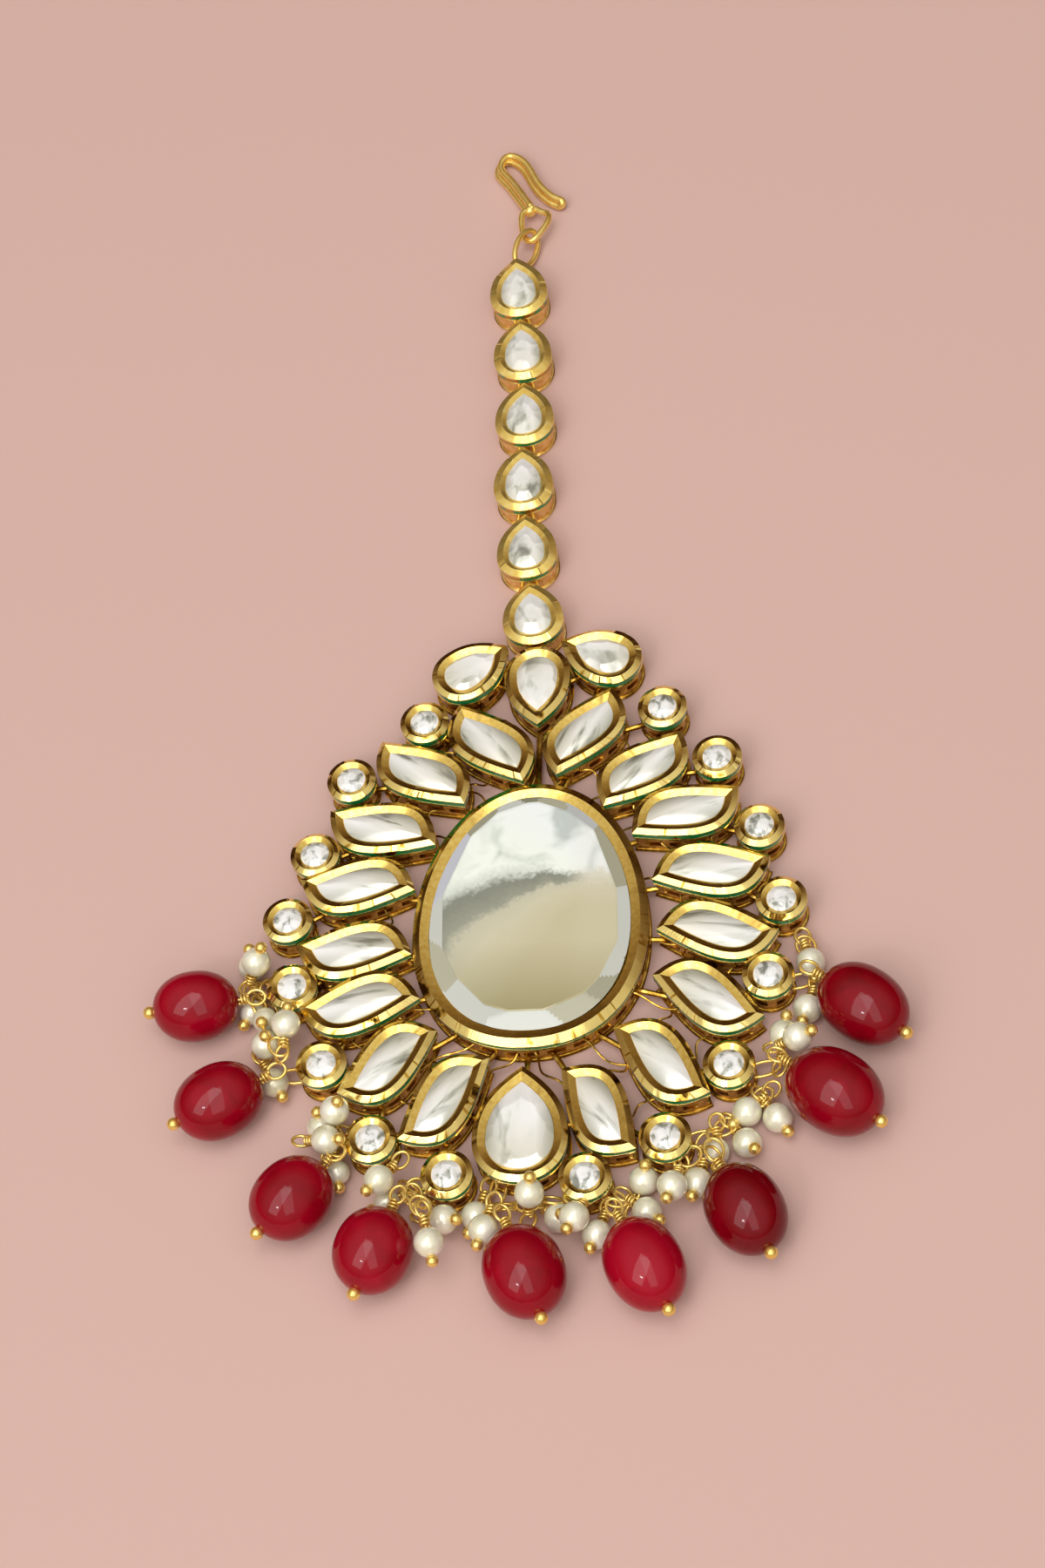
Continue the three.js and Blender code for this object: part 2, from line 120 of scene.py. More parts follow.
# %% [markdown]
# ## Putting arrays into a mesh
# A piece is a list of patches. A patch has points, faces, one finish number a face, and a flat
# coordinate for each face corner, so that a finish can follow a rim or a wire. `foreach_set` copies the
# arrays in one go, which is far quicker than adding faces one at a time.

# %% Patches and meshes
def grid_faces(rows, cols, wrap_rows=False):
    """Quads of a sheet of points: row r, column c joins to r + 1 and c + 1, and columns close round."""
    r, c = np.meshgrid(np.arange(rows if wrap_rows else rows - 1), np.arange(cols), indexing="ij")
    up = (r + 1) % rows
    on = (c + 1) % cols
    return np.stack([r * cols + c, r * cols + on, up * cols + on, up * cols + c], -1).reshape(-1, 4)


def fan_faces(ring, centre, flip=False):
    """Triangles from a closed ring of point numbers to one centre; the last number of each is -1."""
    a, b = (np.roll(ring, -1), ring) if flip else (ring, np.roll(ring, -1))
    return np.stack([a, b, np.full_like(ring, centre), np.full_like(ring, -1)], -1)


def closed_faces(rows, cols):
    """A sheet whose first and last rows are closed by fans to two more points, which follow its own."""
    ring, end = np.arange(cols), rows * cols
    first = fan_faces(ring, end, flip=True)
    last = fan_faces(ring + end - cols, end + 1)
    return np.concatenate([grid_faces(rows, cols), first, last])


def patch(points, faces, finish=0, flat=None):
    """Points in mm, faces, finish numbers and flat coordinates in mm, as one dictionary."""
    faces = np.asarray(faces)
    return {
        "points": np.asarray(points, float),
        "faces": faces,
        "finish": np.broadcast_to(finish, len(faces)).astype(np.int32),
        "flat": np.zeros((len(faces), 4, 2)) if flat is None else flat,
    }


def put_mesh(name, patches, finishes, sharp=None):
    """One object from many patches: point numbers are shifted by the points before them."""
    starts = np.cumsum([0] + [len(p["points"]) for p in patches])
    points = np.concatenate([p["points"] for p in patches])
    faces = np.concatenate([np.where(p["faces"] < 0, -1, p["faces"] + s) for p, s in zip(patches, starts)])
    used = faces >= 0
    counts = used.sum(1)
    mesh = bpy.data.meshes.new(name)
    mesh.vertices.add(len(points))
    mesh.vertices.foreach_set("co", ((points + FLOWER) * MM).astype(np.float32).ravel())
    mesh.loops.add(int(counts.sum()))
    mesh.loops.foreach_set("vertex_index", faces[used].astype(np.int32))
    mesh.polygons.add(len(faces))
    mesh.polygons.foreach_set("loop_start", np.concatenate([[0], np.cumsum(counts)[:-1]]).astype(np.int32))
    mesh.polygons.foreach_set("material_index", np.concatenate([p["finish"] for p in patches]))
    mesh.polygons.foreach_set("use_smooth", np.ones(len(faces), bool))
    flat = np.concatenate([p["flat"] for p in patches])[used] * MM
    mesh.uv_layers.new(name="Along").data.foreach_set("uv", flat.astype(np.float32).ravel())
    mesh.update(calc_edges=True)
    mesh.validate()
    if sharp is not None:
        mesh.set_sharp_from_angle(angle=math.radians(sharp))
    piece = bpy.data.objects.new(name, mesh)
    bpy.context.scene.collection.objects.link(piece)
    for finish in finishes:
        mesh.materials.append(finish)
    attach(piece, "root")
    print(f"{name}: {len(points)} points, {len(faces)} faces")
    return piece


print("a closed sheet of 3 rows of 4 points has", len(closed_faces(3, 4)), "faces")

# %% [markdown]
# ## Colours and nodes
# A colour picker gives sRGB numbers, while the renderer mixes light in linear ones, so one function
# turns the first into the second. Another adds a node, sets it up and links it, so each finish below
# reads as a short list of what feeds what.

# %% Helpers for finishes
def colour(hex_code):
    """Linear colour: each sRGB channel over 12.92 near black, else ((c + 0.055) / 1.055) ** 2.4."""
    c = np.array([int(hex_code[i:i + 2], 16) for i in (1, 3, 5)]) / 255
    linear = np.where(c <= 0.04045, c / 12.92, ((c + 0.055) / 1.055) ** 2.4)
    return (*linear.tolist(), 1.0)


def feed(node, inputs):
    """Gives a node its inputs: each is a value, an output, or a node, which stands for its first output."""
    for key, value in inputs.items():
        source = value.outputs[0] if isinstance(value, bpy.types.Node) else value
        if isinstance(source, bpy.types.NodeSocket):
            node.id_data.links.new(source, node.inputs[key])
        else:
            node.inputs[key].default_value = source


def add_node(tree, kind, inputs=(), **settings):
    """Adds a node of that kind with its settings, and feeds it."""
    node = tree.nodes.new(kind)
    for key, value in settings.items():
        setattr(node, key, value)
    feed(node, dict(inputs))
    return node


def start_finish(name):
    """An empty material with a Principled shader; gives the material, its tree and the shader."""
    material = bpy.data.materials.new(name)
    material.use_nodes = True
    print("finish:", name)
    return material, material.node_tree, material.node_tree.nodes["Principled BSDF"]


def set_stops(ramp, stops):
    """Colour stops of a ramp, as pairs of position and sRGB hex."""
    line = ramp.color_ramp
    line.elements[0].position, line.elements[0].color = stops[0][0], colour(stops[0][1])
    line.elements[1].position, line.elements[1].color = stops[-1][0], colour(stops[-1][1])
    for place, hex_code in stops[1:-1]:
        line.elements.new(place).color = colour(hex_code)


PER_MM = 1 / MM          # a pattern of one feature a millimetre, on coordinates in metres
print("one pattern feature a millimetre is a scale of", PER_MM)

# %% [markdown]
# ## Burnished gilt for the outer bands
# Kundan rims are gilded, then rubbed with a hard agate burnisher in short strokes. That leaves a
# bright lemon skin with chatter lines across the rim. The brown strokes about a millimetre apart, and
# the brown spots where the chatter shows dark, are painted dark reflections of burnished flats that
# mirror the dark room. An even colour would look like plastic foil, so lines and strokes come from
# noises that are squeezed on the flat coordinates, which follow the rim.

# %% Burnished gilt
def burnished_gilt():
    """The tone follows the larger of two painted dark reflections: chatter within the dark patches,
    and strokes along the rim.
    """
    finish, tree, shader = start_finish("burnished_gilt")
    along_rim = add_node(tree, "ShaderNodeUVMap", uv_map="Along")
    squeeze = add_node(tree, "ShaderNodeMapping", {
        "Vector": along_rim, "Rotation": (0, 0, 0.35), "Scale": (5.0, 0.3, 1)})
    chatter = add_node(tree, "ShaderNodeTexNoise", {
        "Vector": squeeze, "Scale": PER_MM, "Detail": 3.0, "Roughness": 0.6})
    place = add_node(tree, "ShaderNodeTexCoord")
    cloud = add_node(tree, "ShaderNodeTexNoise", {
        "Vector": place.outputs["Object"], "Scale": 0.28 * PER_MM, "Detail": 2.0})
    # painted dark reflection: patches where the chatter turns brown
    dark_patch = add_node(tree, "ShaderNodeMapRange", {"Value": cloud, "From Min": 0.64, "From Max": 0.70})
    patch_reflection = add_node(tree, "ShaderNodeMath", {0: dark_patch, 1: chatter}, operation="MULTIPLY")
    spread = add_node(tree, "ShaderNodeMapping", {
        "Vector": along_rim, "Rotation": (0, 0, 0.12), "Scale": (1.3, 0.10, 1)})
    stroke = add_node(tree, "ShaderNodeTexNoise", {"Vector": spread, "Scale": PER_MM, "Detail": 2.0})
    # painted dark reflection: brown strokes along the rim
    stroke_reflection = add_node(tree, "ShaderNodeMapRange", {
        "Value": stroke, "From Min": 0.60, "From Max": 0.68, "To Max": 0.38})
    # the brown of the tone is painted dark reflection, over chatter lines that are real in the bump
    worn = add_node(tree, "ShaderNodeMath", {0: patch_reflection, 1: stroke_reflection}, operation="MAXIMUM")
    tone = add_node(tree, "ShaderNodeValToRGB", {"Fac": worn})
    set_stops(tone, [(0.0, "#FBE08A"), (0.2, "#DCAE48"), (0.5, "#40280A")])
    gloss = add_node(tree, "ShaderNodeMapRange", {
        "Value": chatter, "From Min": 0.3, "From Max": 0.75, "To Min": 0.06, "To Max": 0.20})
    bump = add_node(tree, "ShaderNodeBump", {"Height": chatter, "Strength": 0.3, "Distance": 0.04 * MM})
    feed(shader, {"Base Color": tone, "Metallic": 1.0, "Roughness": gloss, "Normal": bump})
    return finish


BURNISHED = burnished_gilt()

# %% [markdown]
# ## Gilt that isn't burnished
# The slope beside the stone is pushed, not rubbed, so it keeps a faint satin grain under the same
# bright gilding. The walls are cast and dipped: duller, browner and a little rough. Pins, rings, the
# hook and the bands of the chain's cups have a thick soft dip, which scatters some light as well as
# mirroring it, so they are less than fully metal. Each is one skin with its own tone, gloss and grain.

# %% Satin, dipped and polished gilt
def gilt(name, stops, grain, rough, dent, metal=1.0):
    """Tone and dents from one noise: grain is features to a millimetre, dent their depth in mm. rough
    and metal go to the shader as they are."""
    finish, tree, shader = start_finish(name)
    place = add_node(tree, "ShaderNodeTexCoord")
    skin = add_node(tree, "ShaderNodeTexNoise", {
        "Vector": place.outputs["Object"], "Scale": grain * PER_MM, "Detail": 4.0})
    tone = add_node(tree, "ShaderNodeValToRGB", {"Fac": skin})
    set_stops(tone, stops)
    bump = add_node(tree, "ShaderNodeBump", {"Height": skin, "Strength": 0.4, "Distance": dent * MM})
    feed(shader, {"Base Color": tone, "Metallic": metal, "Roughness": rough, "Normal": bump})
    return finish


SATIN = gilt("satin_gilt_slope", [(0.3, "#E6BC58"), (0.55, "#F3D070"), (0.75, "#F8DA84")], 1.6, 0.18, 0.012)
WALL = gilt("dipped_gilt_wall", [(0.3, "#8E6A24"), (0.5, "#BC9238"), (0.7, "#E0BC60")], 1.2, 0.24, 0.04)
CUP_WALL = gilt("dipped_gilt_cup", [(0.3, "#DCAC58"), (0.5, "#F2CC7C"), (0.7, "#FCE2A4")], 1.2, 0.26, 0.03)
CUP_BAND = gilt(
    "soft_gilt_band", [(0.3, "#F0CA64"), (0.55, "#FADA7C"), (0.75, "#FFE896")], 1.0, 0.15, 0.02, metal=0.8)
WIRE = gilt(
    "dipped_gilt_wire", [(0.3, "#F2C866"), (0.6, "#FADA80"), (0.8, "#FFE8A0")], 0.8, 0.22, 0.01, metal=0.75)

# %% [markdown]
# ## Green enamel
# A thin line of glassy green enamel runs under each rim. It is painted by hand, so in places it runs
# thin and the gilding shows through: a noise decides where, and on the chain's cups most of it is worn.

# %% Green enamel
def green_enamel(name, bare_from):
    """bare_from is the noise value from which the gilding shows."""
    finish, tree, shader = start_finish(name)
    place = add_node(tree, "ShaderNodeTexCoord")
    thin = add_node(tree, "ShaderNodeTexNoise", {
        "Vector": place.outputs["Object"], "Scale": 0.35 * PER_MM, "Detail": 3.0})
    bare = add_node(tree, "ShaderNodeMapRange", {
        "Value": thin, "From Min": bare_from, "From Max": bare_from + 0.05})
    tone = add_node(tree, "ShaderNodeValToRGB", {"Fac": bare})
    set_stops(tone, [(0.0, "#0A8448"), (0.5, "#3C7A34"), (1.0, "#D09A40")])
    feed(shader, {"Base Color": tone, "Metallic": bare, "Roughness": 0.12, "Coat Weight": 0.6})
    return finish


ENAMEL = green_enamel("green_vitreous_enamel", 0.62)
CUP_ENAMEL = green_enamel("worn_green_enamel", 0.47)

# %% [markdown]
# ## Stone over silver foil
# A kundan stone is clear and shallow, and what shines is crumpled silver foil behind it. Glass over
# foil is drawn with one surface: the base is the foil, a fifth of it metal so that it stays pale from
# every side, with creases in its bump, and the clear coat is the polished top of the stone, which
# stays smooth. Each stone's flat coordinates start 100 mm from its neighbour's, so no two crease
# alike, and wrapping them to +-50 mm gives the place along the stone again. From that place a painted
# reflection turns the foil from silver at one end to warm beige at the other. The distance from the
# stone's long axis darkens it towards the flanks, which is painted shade. Creases are drawn a little
# coarser than real.

# %% Foiled stone
STONE_STEP = 100          # mm between the flat coordinates of one stone and the next


def foiled_stone(name, crease, stops, warm, flank, rough, depth):
    """crease is folds to a mm along and across the stone; warm is where the painted beige reflection
    begins and is full, and flank the same for the painted shade at its sides, in mm."""
    finish, tree, shader = start_finish(name)
    along_stone = add_node(tree, "ShaderNodeUVMap", uv_map="Along")
    stretch = add_node(tree, "ShaderNodeMapping", {
        "Vector": along_stone, "Scale": (*crease, 1)})
    folds = add_node(tree, "ShaderNodeTexNoise", {
        "Vector": stretch, "Scale": PER_MM, "Detail": 3.0, "Roughness": 0.55, "Distortion": 0.5})
    tone = add_node(tree, "ShaderNodeValToRGB", {"Fac": folds})
    set_stops(tone, stops)
    split = add_node(tree, "ShaderNodeSeparateXYZ", {"Vector": along_stone})
    half = STONE_STEP / 2 * MM
    local = add_node(tree, "ShaderNodeMath", {0: split.outputs["X"], 1: -half, 2: half}, operation="WRAP")
    # painted reflection: warm beige towards one end of each stone
    beige_reflection_share = add_node(tree, "ShaderNodeMapRange", {
        "Value": local, "From Min": warm[0] * MM, "From Max": warm[1] * MM, "To Max": 0.5},
        interpolation_type="SMOOTHSTEP")
    beige = add_node(tree, "ShaderNodeMixRGB", {
        "Fac": beige_reflection_share, "Color1": tone, "Color2": colour("#CDC6A6")}, blend_type="MULTIPLY")
    # painted shade: darker towards the flanks of each stone
    aside = add_node(tree, "ShaderNodeMath", {0: split.outputs["Y"]}, operation="ABSOLUTE")
    painted_flank_shade = add_node(tree, "ShaderNodeMapRange", {
        "Value": aside, "From Min": flank[0] * MM, "From Max": flank[1] * MM, "To Max": 0.9})
    flank_shaded = add_node(tree, "ShaderNodeMixRGB", {
        "Fac": painted_flank_shade, "Color1": beige, "Color2": colour("#AEAE9E")}, blend_type="MULTIPLY")
    bump = add_node(tree, "ShaderNodeBump", {"Height": folds, "Strength": 0.8, "Distance": depth * MM})
    feed(shader, {
        "Base Color": flank_shaded, "Metallic": 0.2, "Roughness": rough, "Coat Weight": 1.0,
        "Coat Roughness": 0.03, "Normal": bump})
    return finish


SILVER = [(0.30, "#96968C"), (0.37, "#CCCEC6"), (0.45, "#F6F8F5"), (0.60, "#FFFFFF")]
SPARKLE = [(0.34, "#86887E"), (0.42, "#B8BAB2"), (0.49, "#F0F2F0"), (0.62, "#FFFFFF")]
LEAF_FOIL = foiled_stone("leaf_stone_on_foil", (0.11, 0.55), SILVER, (-6.0, 5.0), (0.8, 3.0), 0.24, 0.09)
PEAR_FOIL = foiled_stone("pear_stone_on_foil", (0.12, 0.22), SILVER, (-4.0, 5.0), (2.2, 4.6), 0.26, 0.06)
CHAIN_FOIL = foiled_stone("chain_stone_on_foil", (0.18, 0.34), SILVER, (-3.0, 5.0), (1.4, 3.0), 0.22, 0.06)
ROUND_FOIL = foiled_stone("small_stone_on_foil", (0.70, 0.55), SPARKLE, (4.0, 9.0), (1.2, 2.4), 0.18, 0.08)

# %% [markdown]
# ## Ruby glass
# The beads are deep red glass, tumbled and polished. Light sinks in and comes out pinker, so the
# shader scatters a little red below a clear gloss. Faint clouds stand for the veins in the melt, and
# no two beads are from one melt: each has a tint from 0 to 1 in its flat coordinates, dark to pink.

# %% Ruby glass
VEINS = 1.1               # how far a vein shifts the tint where its noise goes from 0 to 1


def ruby_glass():
    """The red is picked by the bead's tint plus the veins' noise, which is centred on nought."""
    finish, tree, shader = start_finish("ruby_glass")
    place = add_node(tree, "ShaderNodeTexCoord")
    veins = add_node(tree, "ShaderNodeTexNoise", {
        "Vector": place.outputs["Object"], "Scale": 0.22 * PER_MM, "Detail": 5.0, "Distortion": 0.8})
    along_bead = add_node(tree, "ShaderNodeUVMap", uv_map="Along")
    tint = add_node(tree, "ShaderNodeSeparateXYZ", {"Vector": along_bead})
    melt = add_node(tree, "ShaderNodeMath", {0: veins, 1: VEINS, 2: -VEINS / 2}, operation="MULTIPLY_ADD")
    both = add_node(tree, "ShaderNodeMath", {
        0: tint.outputs["X"], 1: PER_MM, 2: melt}, operation="MULTIPLY_ADD")
    tone = add_node(tree, "ShaderNodeValToRGB", {"Fac": both})
    set_stops(tone, [(0.0, "#6C020C"), (0.5, "#880316"), (1.0, "#A20722")])
    feed(shader, {
        "Base Color": tone, "Roughness": 0.05, "Specular IOR Level": 0.30, "Subsurface Weight": 0.2,
        "Subsurface Radius": (1.0, 0.06, 0.08), "Subsurface Scale": 3.0 * MM})
    return finish


RUBY = ruby_glass()

# %% [markdown]
# ## Pearl
# Small glass-cored pearls have a soft lustre: many thin skins send light back as a blurred mirror
# would, so the body is a fifth metal. Fine pits are left where the skin is worn, drawn a little
# coarser than real so that they show.

# %% Pearl
def pearl_lustre():
    """Clouds of cream in the tone and fine pits in the bump, under a clear coat."""
    finish, tree, shader = start_finish("cream_pearl")
    place = add_node(tree, "ShaderNodeTexCoord")
    cloud = add_node(tree, "ShaderNodeTexNoise", {
        "Vector": place.outputs["Object"], "Scale": 0.5 * PER_MM, "Detail": 2.0})
    tone = add_node(tree, "ShaderNodeValToRGB", {"Fac": cloud})
    set_stops(tone, [(0.3, "#DEDAB8"), (0.55, "#F1EED8"), (0.8, "#FAF8EC")])
    pits = add_node(tree, "ShaderNodeTexNoise", {
        "Vector": place.outputs["Object"], "Scale": 2.2 * PER_MM, "Detail": 2.0})
    bump = add_node(tree, "ShaderNodeBump", {"Height": pits, "Strength": 0.3, "Distance": 0.08 * MM})
    feed(shader, {
        "Base Color": tone, "Metallic": 0.2, "Roughness": 0.26, "Subsurface Weight": 0.15,
        "Subsurface Radius": (1.0, 0.9, 0.6), "Subsurface Scale": 0.6 * MM, "Coat Weight": 0.8,
        "Coat Roughness": 0.08, "Normal": bump})
    return finish


PEARL = pearl_lustre()

# %% [markdown]
# ## Outlines that can shrink
# A setting is one outline repeated at many heights, each a bit further in. Leaves and pears have
# sharp tips, and scaling would make the rim thin at the tips, so each outline is kept as two edges.
# Both edges are moved inwards along their normals, cut where they cross, and measured off evenly.

# %% Edges that move inwards
def bezier(corners, count=60):
    """Cubic Bezier: the four corners weighed by (1-t)^3, 3t(1-t)^2, 3t^2(1-t) and t^3."""
    t = np.linspace(0, 1, count)[:, None]
    a, b, c, d = np.asarray(corners, float)
    return (1 - t) ** 3 * a + 3 * t * (1 - t) ** 2 * b + 3 * t ** 2 * (1 - t) * c + t ** 3 * d


def even(line, count):
    """The same line with count + 1 points at equal lengths along it."""
    run = run_along(line)
    at = np.linspace(0, run[-1], count + 1)
    return np.stack([np.interp(at, run, line[:, k]) for k in range(line.shape[1])], -1)


def moved_in(line, d):
    """Each point moved by d along its left-hand normal."""
    return line + d * left_of(unit(np.gradient(line, axis=0)))


def crossing(a, b):
    """Where line a, near its end, crosses line b, near its start, as fractional point numbers.
    Every segment of a is solved against every segment of b at once."""
    p, r = a[:-1, None], np.diff(a, axis=0)[:, None]
    q, s = b[None, :-1], np.diff(b, axis=0)[None]
    cross = r[..., 0] * s[..., 1] - r[..., 1] * s[..., 0]
    cross = np.where(np.abs(cross) < 1e-12, 1e-12, cross)
    gap = q - p
    t = (gap[..., 0] * s[..., 1] - gap[..., 1] * s[..., 0]) / cross
    u = (gap[..., 0] * r[..., 1] - gap[..., 1] * r[..., 0]) / cross
    hit = (t >= 0) & (t < 1) & (u >= 0) & (u < 1)
    i, j = np.nonzero(hit)
    if len(i) == 0:
        return len(a) - 1.0, 0.0
    last = np.argmin(j - i)
    return i[last] + t[i[last], j[last]], j[last] + u[i[last], j[last]]


def part_of(line, first, last):
    """The stretch of a line between two fractional point numbers."""
    inner = np.arange(math.floor(first) + 1, math.ceil(last))
    at = np.concatenate([[first], inner, [last]])
    return np.stack([np.interp(at, np.arange(len(line)), line[:, k]) for k in range(2)], -1)


def two_edged(edge_a, edge_b, count):
    """A closed outline from two edges that meet at both ends, anticlockwise; gives points for inset d."""
    def outline(d):
        a, b = moved_in(edge_a, d), moved_in(edge_b, d)
        a_last, b_first = crossing(a, b)
        b_last, a_first = crossing(b, a)
        a = even(part_of(a, a_first, a_last), count)[:-1]
        b = even(part_of(b, b_first, b_last), count)[:-1]
        return np.concatenate([a, b])
    return outline


print("a 10 mm line in four even steps:", even(np.array([(0.0, 0.0), (10.0, 0.0)]), 4)[:, 0])

# %% Outlines of the settings
def along(ends, points):
    """Local points, u from the first end to the second and v to the left, set in the plan."""
    ahead = unit([ends[2] - ends[0], ends[3] - ends[1]])
    points = np.asarray(points, float)
    return np.array(ends[:2]) + points[:, :1] * ahead + points[:, 1:] * left_of(ahead)


def leaf(ends, side, count=56):
    """S-shaped leaf: one Bezier edge, and the same edge turned half round the middle. The corners are
    those of a leaf 16.5 mm long."""
    long = math.hypot(ends[2] - ends[0], ends[3] - ends[1])
    k = long / 16.5
    full = [(0, 0), (6.5 * k, 4.2 * side), (13 * k, 8.2 * side), (long, 0)]
    turned = [(long - x, -y) for x, y in full[::-1]]
    left, right = (full, turned) if side > 0 else (turned, full)
    return two_edged(along(ends, bezier(right)), along(ends, bezier(left))[::-1], count)


def pear(ends, width, count=56):
    """Pear: a straightening flank from the tip to the waist, then a half oval to the round end."""
    long = math.hypot(ends[2] - ends[0], ends[3] - ends[1])
    half, waist = width / 2, 0.63 * long
    flank = bezier([(0, 0), (0.2 * long, 0.72 * half), (waist - 0.26 * long, half), (waist, half)])
    end = bezier([(waist, half), (waist + 0.6 * (long - waist), half), (long, 0.55 * half), (long, 0)])
    left = np.concatenate([flank, end[1:]])
    return two_edged(along(ends, left * [1, -1]), along(ends, left)[::-1], count)


def centre_oval(count=110):
    """The centre setting: upper and lower Beziers, a little fuller at the top than at the bottom."""
    upper = bezier([(0, 22.1), (9.3, 22.1), (16.3, 11.5), (16.3, -1.0)], 120)
    lower = bezier([(16.3, -1.0), (16.3, -12.5), (9.8, -19.3), (0, -19.3)], 120)
    right = np.concatenate([upper, lower[1:]])[::-1]
    return two_edged(right, right[::-1] * [-1, 1], count)


def disc(x, y, radius, count=64):
    """A circle of that radius, less the inset."""
    a = np.linspace(0, 2 * math.pi, count, endpoint=False)
    return lambda d: np.array([x, y]) + (radius - d) * np.stack([np.cos(a), np.sin(a)], -1)


print("points round a pear:", len(pear((0, 0, 10, 0), 8.0)(0.5)))

# %% [markdown]
# ## Where the settings are
# The flower has eight leaves and eight small rounds on each side of the oval, and four pears. Leaves
# point outwards with a twist, and the right side is the mirror of the left in shape, but each one is
# set by hand, so the places are given one by one.

# %% Layout of the flower
# leaves: outer tip x, y, then inner tip x, y
LEFT_LEAVES = [
    (-11.5, 36.0, -1.9, 22.6),
    (-22.4, 30.3, -10.0, 19.3),
    (-29.1, 19.1, -13.8, 12.8),
    (-32.5, 8.0, -16.3, 5.7),
    (-32.4, -2.3, -16.2, -4.4),
    (-31.3, -12.1, -14.7, -11.3),
    (-25.2, -25.2, -12.0, -16.3),
    (-16.6, -32.3, -4.7, -20.8),
]
RIGHT_LEAVES = [
    (10.3, 37.7, 2.8, 23.5),
    (20.3, 29.8, 9.6, 17.9),
    (28.4, 20.2, 13.7, 13.2),
    (32.8, 8.9, 16.6, 5.8),
    (34.0, -2.5, 17.3, -2.0),
    (32.0, -15.6, 16.9, -9.1),
    (24.9, -26.7, 11.8, -16.9),
    (15.2, -34.6, 5.0, -22.8),
]
# small rounds: middle x, y
LEFT_ROUNDS = [
    (-16.4, 33.2),
    (-26.4, 24.0),
    (-30.8, 12.0),
    (-33.9, 1.6),
    (-32.5, -8.8),
    (-27.6, -20.8),
    (-20.2, -32.1),
    (-9.7, -37.6),
]
RIGHT_ROUNDS = [
    (17.6, 34.0),
    (25.4, 25.2),
    (31.3, 13.8),
    (34.3, 2.0),
    (32.5, -9.5),
    (27.3, -22.7),
    (19.0, -33.0),
    (8.6, -38.4),
]
# pears: tip x, y, round end x, y, and width
PEARS = [
    ((-0.2, 32.0, -0.6, 45.3), 9.5),
    ((-0.2, -22.1, -0.2, -39.0), 12.8),
    ((-4.9, 45.7, -14.8, 38.4), 9.0),
    ((2.8, 46.1, 14.1, 40.9), 9.0),
]
# chain cups from the hook down: tip x, y, then round end x, y
CHAIN_CUPS = [
    (-6.7, 119.3, -5.6, 107.5),
    (-5.6, 107.0, -4.5, 95.0),
    (-4.5, 94.4, -4.0, 82.8),
    (-4.3, 82.2, -3.6, 70.2),
    (-3.4, 69.6, -2.6, 58.0),
    (-2.4, 57.4, -1.0, 46.2),
]
CHAIN_WIDTH = 8.9
ROUND_RADIUS = 3.5
LEAVES = [leaf(ends, 1) for ends in LEFT_LEAVES] + [leaf(ends, -1) for ends in RIGHT_LEAVES]
ROUNDS = [disc(x, y, ROUND_RADIUS) for x, y in LEFT_ROUNDS + RIGHT_ROUNDS]
PEAR_OUTLINES = [pear(ends, width) for ends, width in PEARS]
CHAIN_OUTLINES = [pear(ends, CHAIN_WIDTH) for ends in CHAIN_CUPS]
CENTRE = centre_oval()
flower_count = len(LEAVES) + len(ROUNDS) + len(PEARS) + 1
print("settings:", flower_count, "in the flower and", len(CHAIN_CUPS), "in the chain")

# %% [markdown]
# ## A setting, from the back plate to the seat
# From below: a flat back, a base wire, an upright wall with slots, a thin wire, a groove, the enamel
# line, the outer band up to the ridge, and the inner slope down to the stone. Each of these is a row
# or two of one profile, which is carried round the outline. The band is cut into flats by lifting and
# lowering its lip a little between random breaks, because that is what makes hand work glitter.

# %% Profile of a setting
BODY_TOP = 5.2
CHAIN_TOP = 4.5
SEAT = 4.74               # height of the seat in a body setting
CHAIN_SEAT = SEAT * CHAIN_TOP / BODY_TOP
UNDER_STONE = 4.40        # height of the plate under the stone
SLOT_PITCH, SLOT_LENGTH = 3.6, 2.0
LIP_FLATS, CREST_FLATS = 0.15, 0.04
# rims: width of the outer band, width of the slope inside it, and height from the lip to the ridge
LEAF_RIM = (0.80, 1.00, 0.45)
ROUND_RIM = (0.75, 0.75, 0.45)
CENTRE_RIM = (1.10, 1.40, 0.70)
CUP_RIM = (1.05, 0.72, 0.55)
BRIGHT, SOFT, SIDE, GREEN = range(4)
STILL, SLOT, LIP, CREST = range(4)


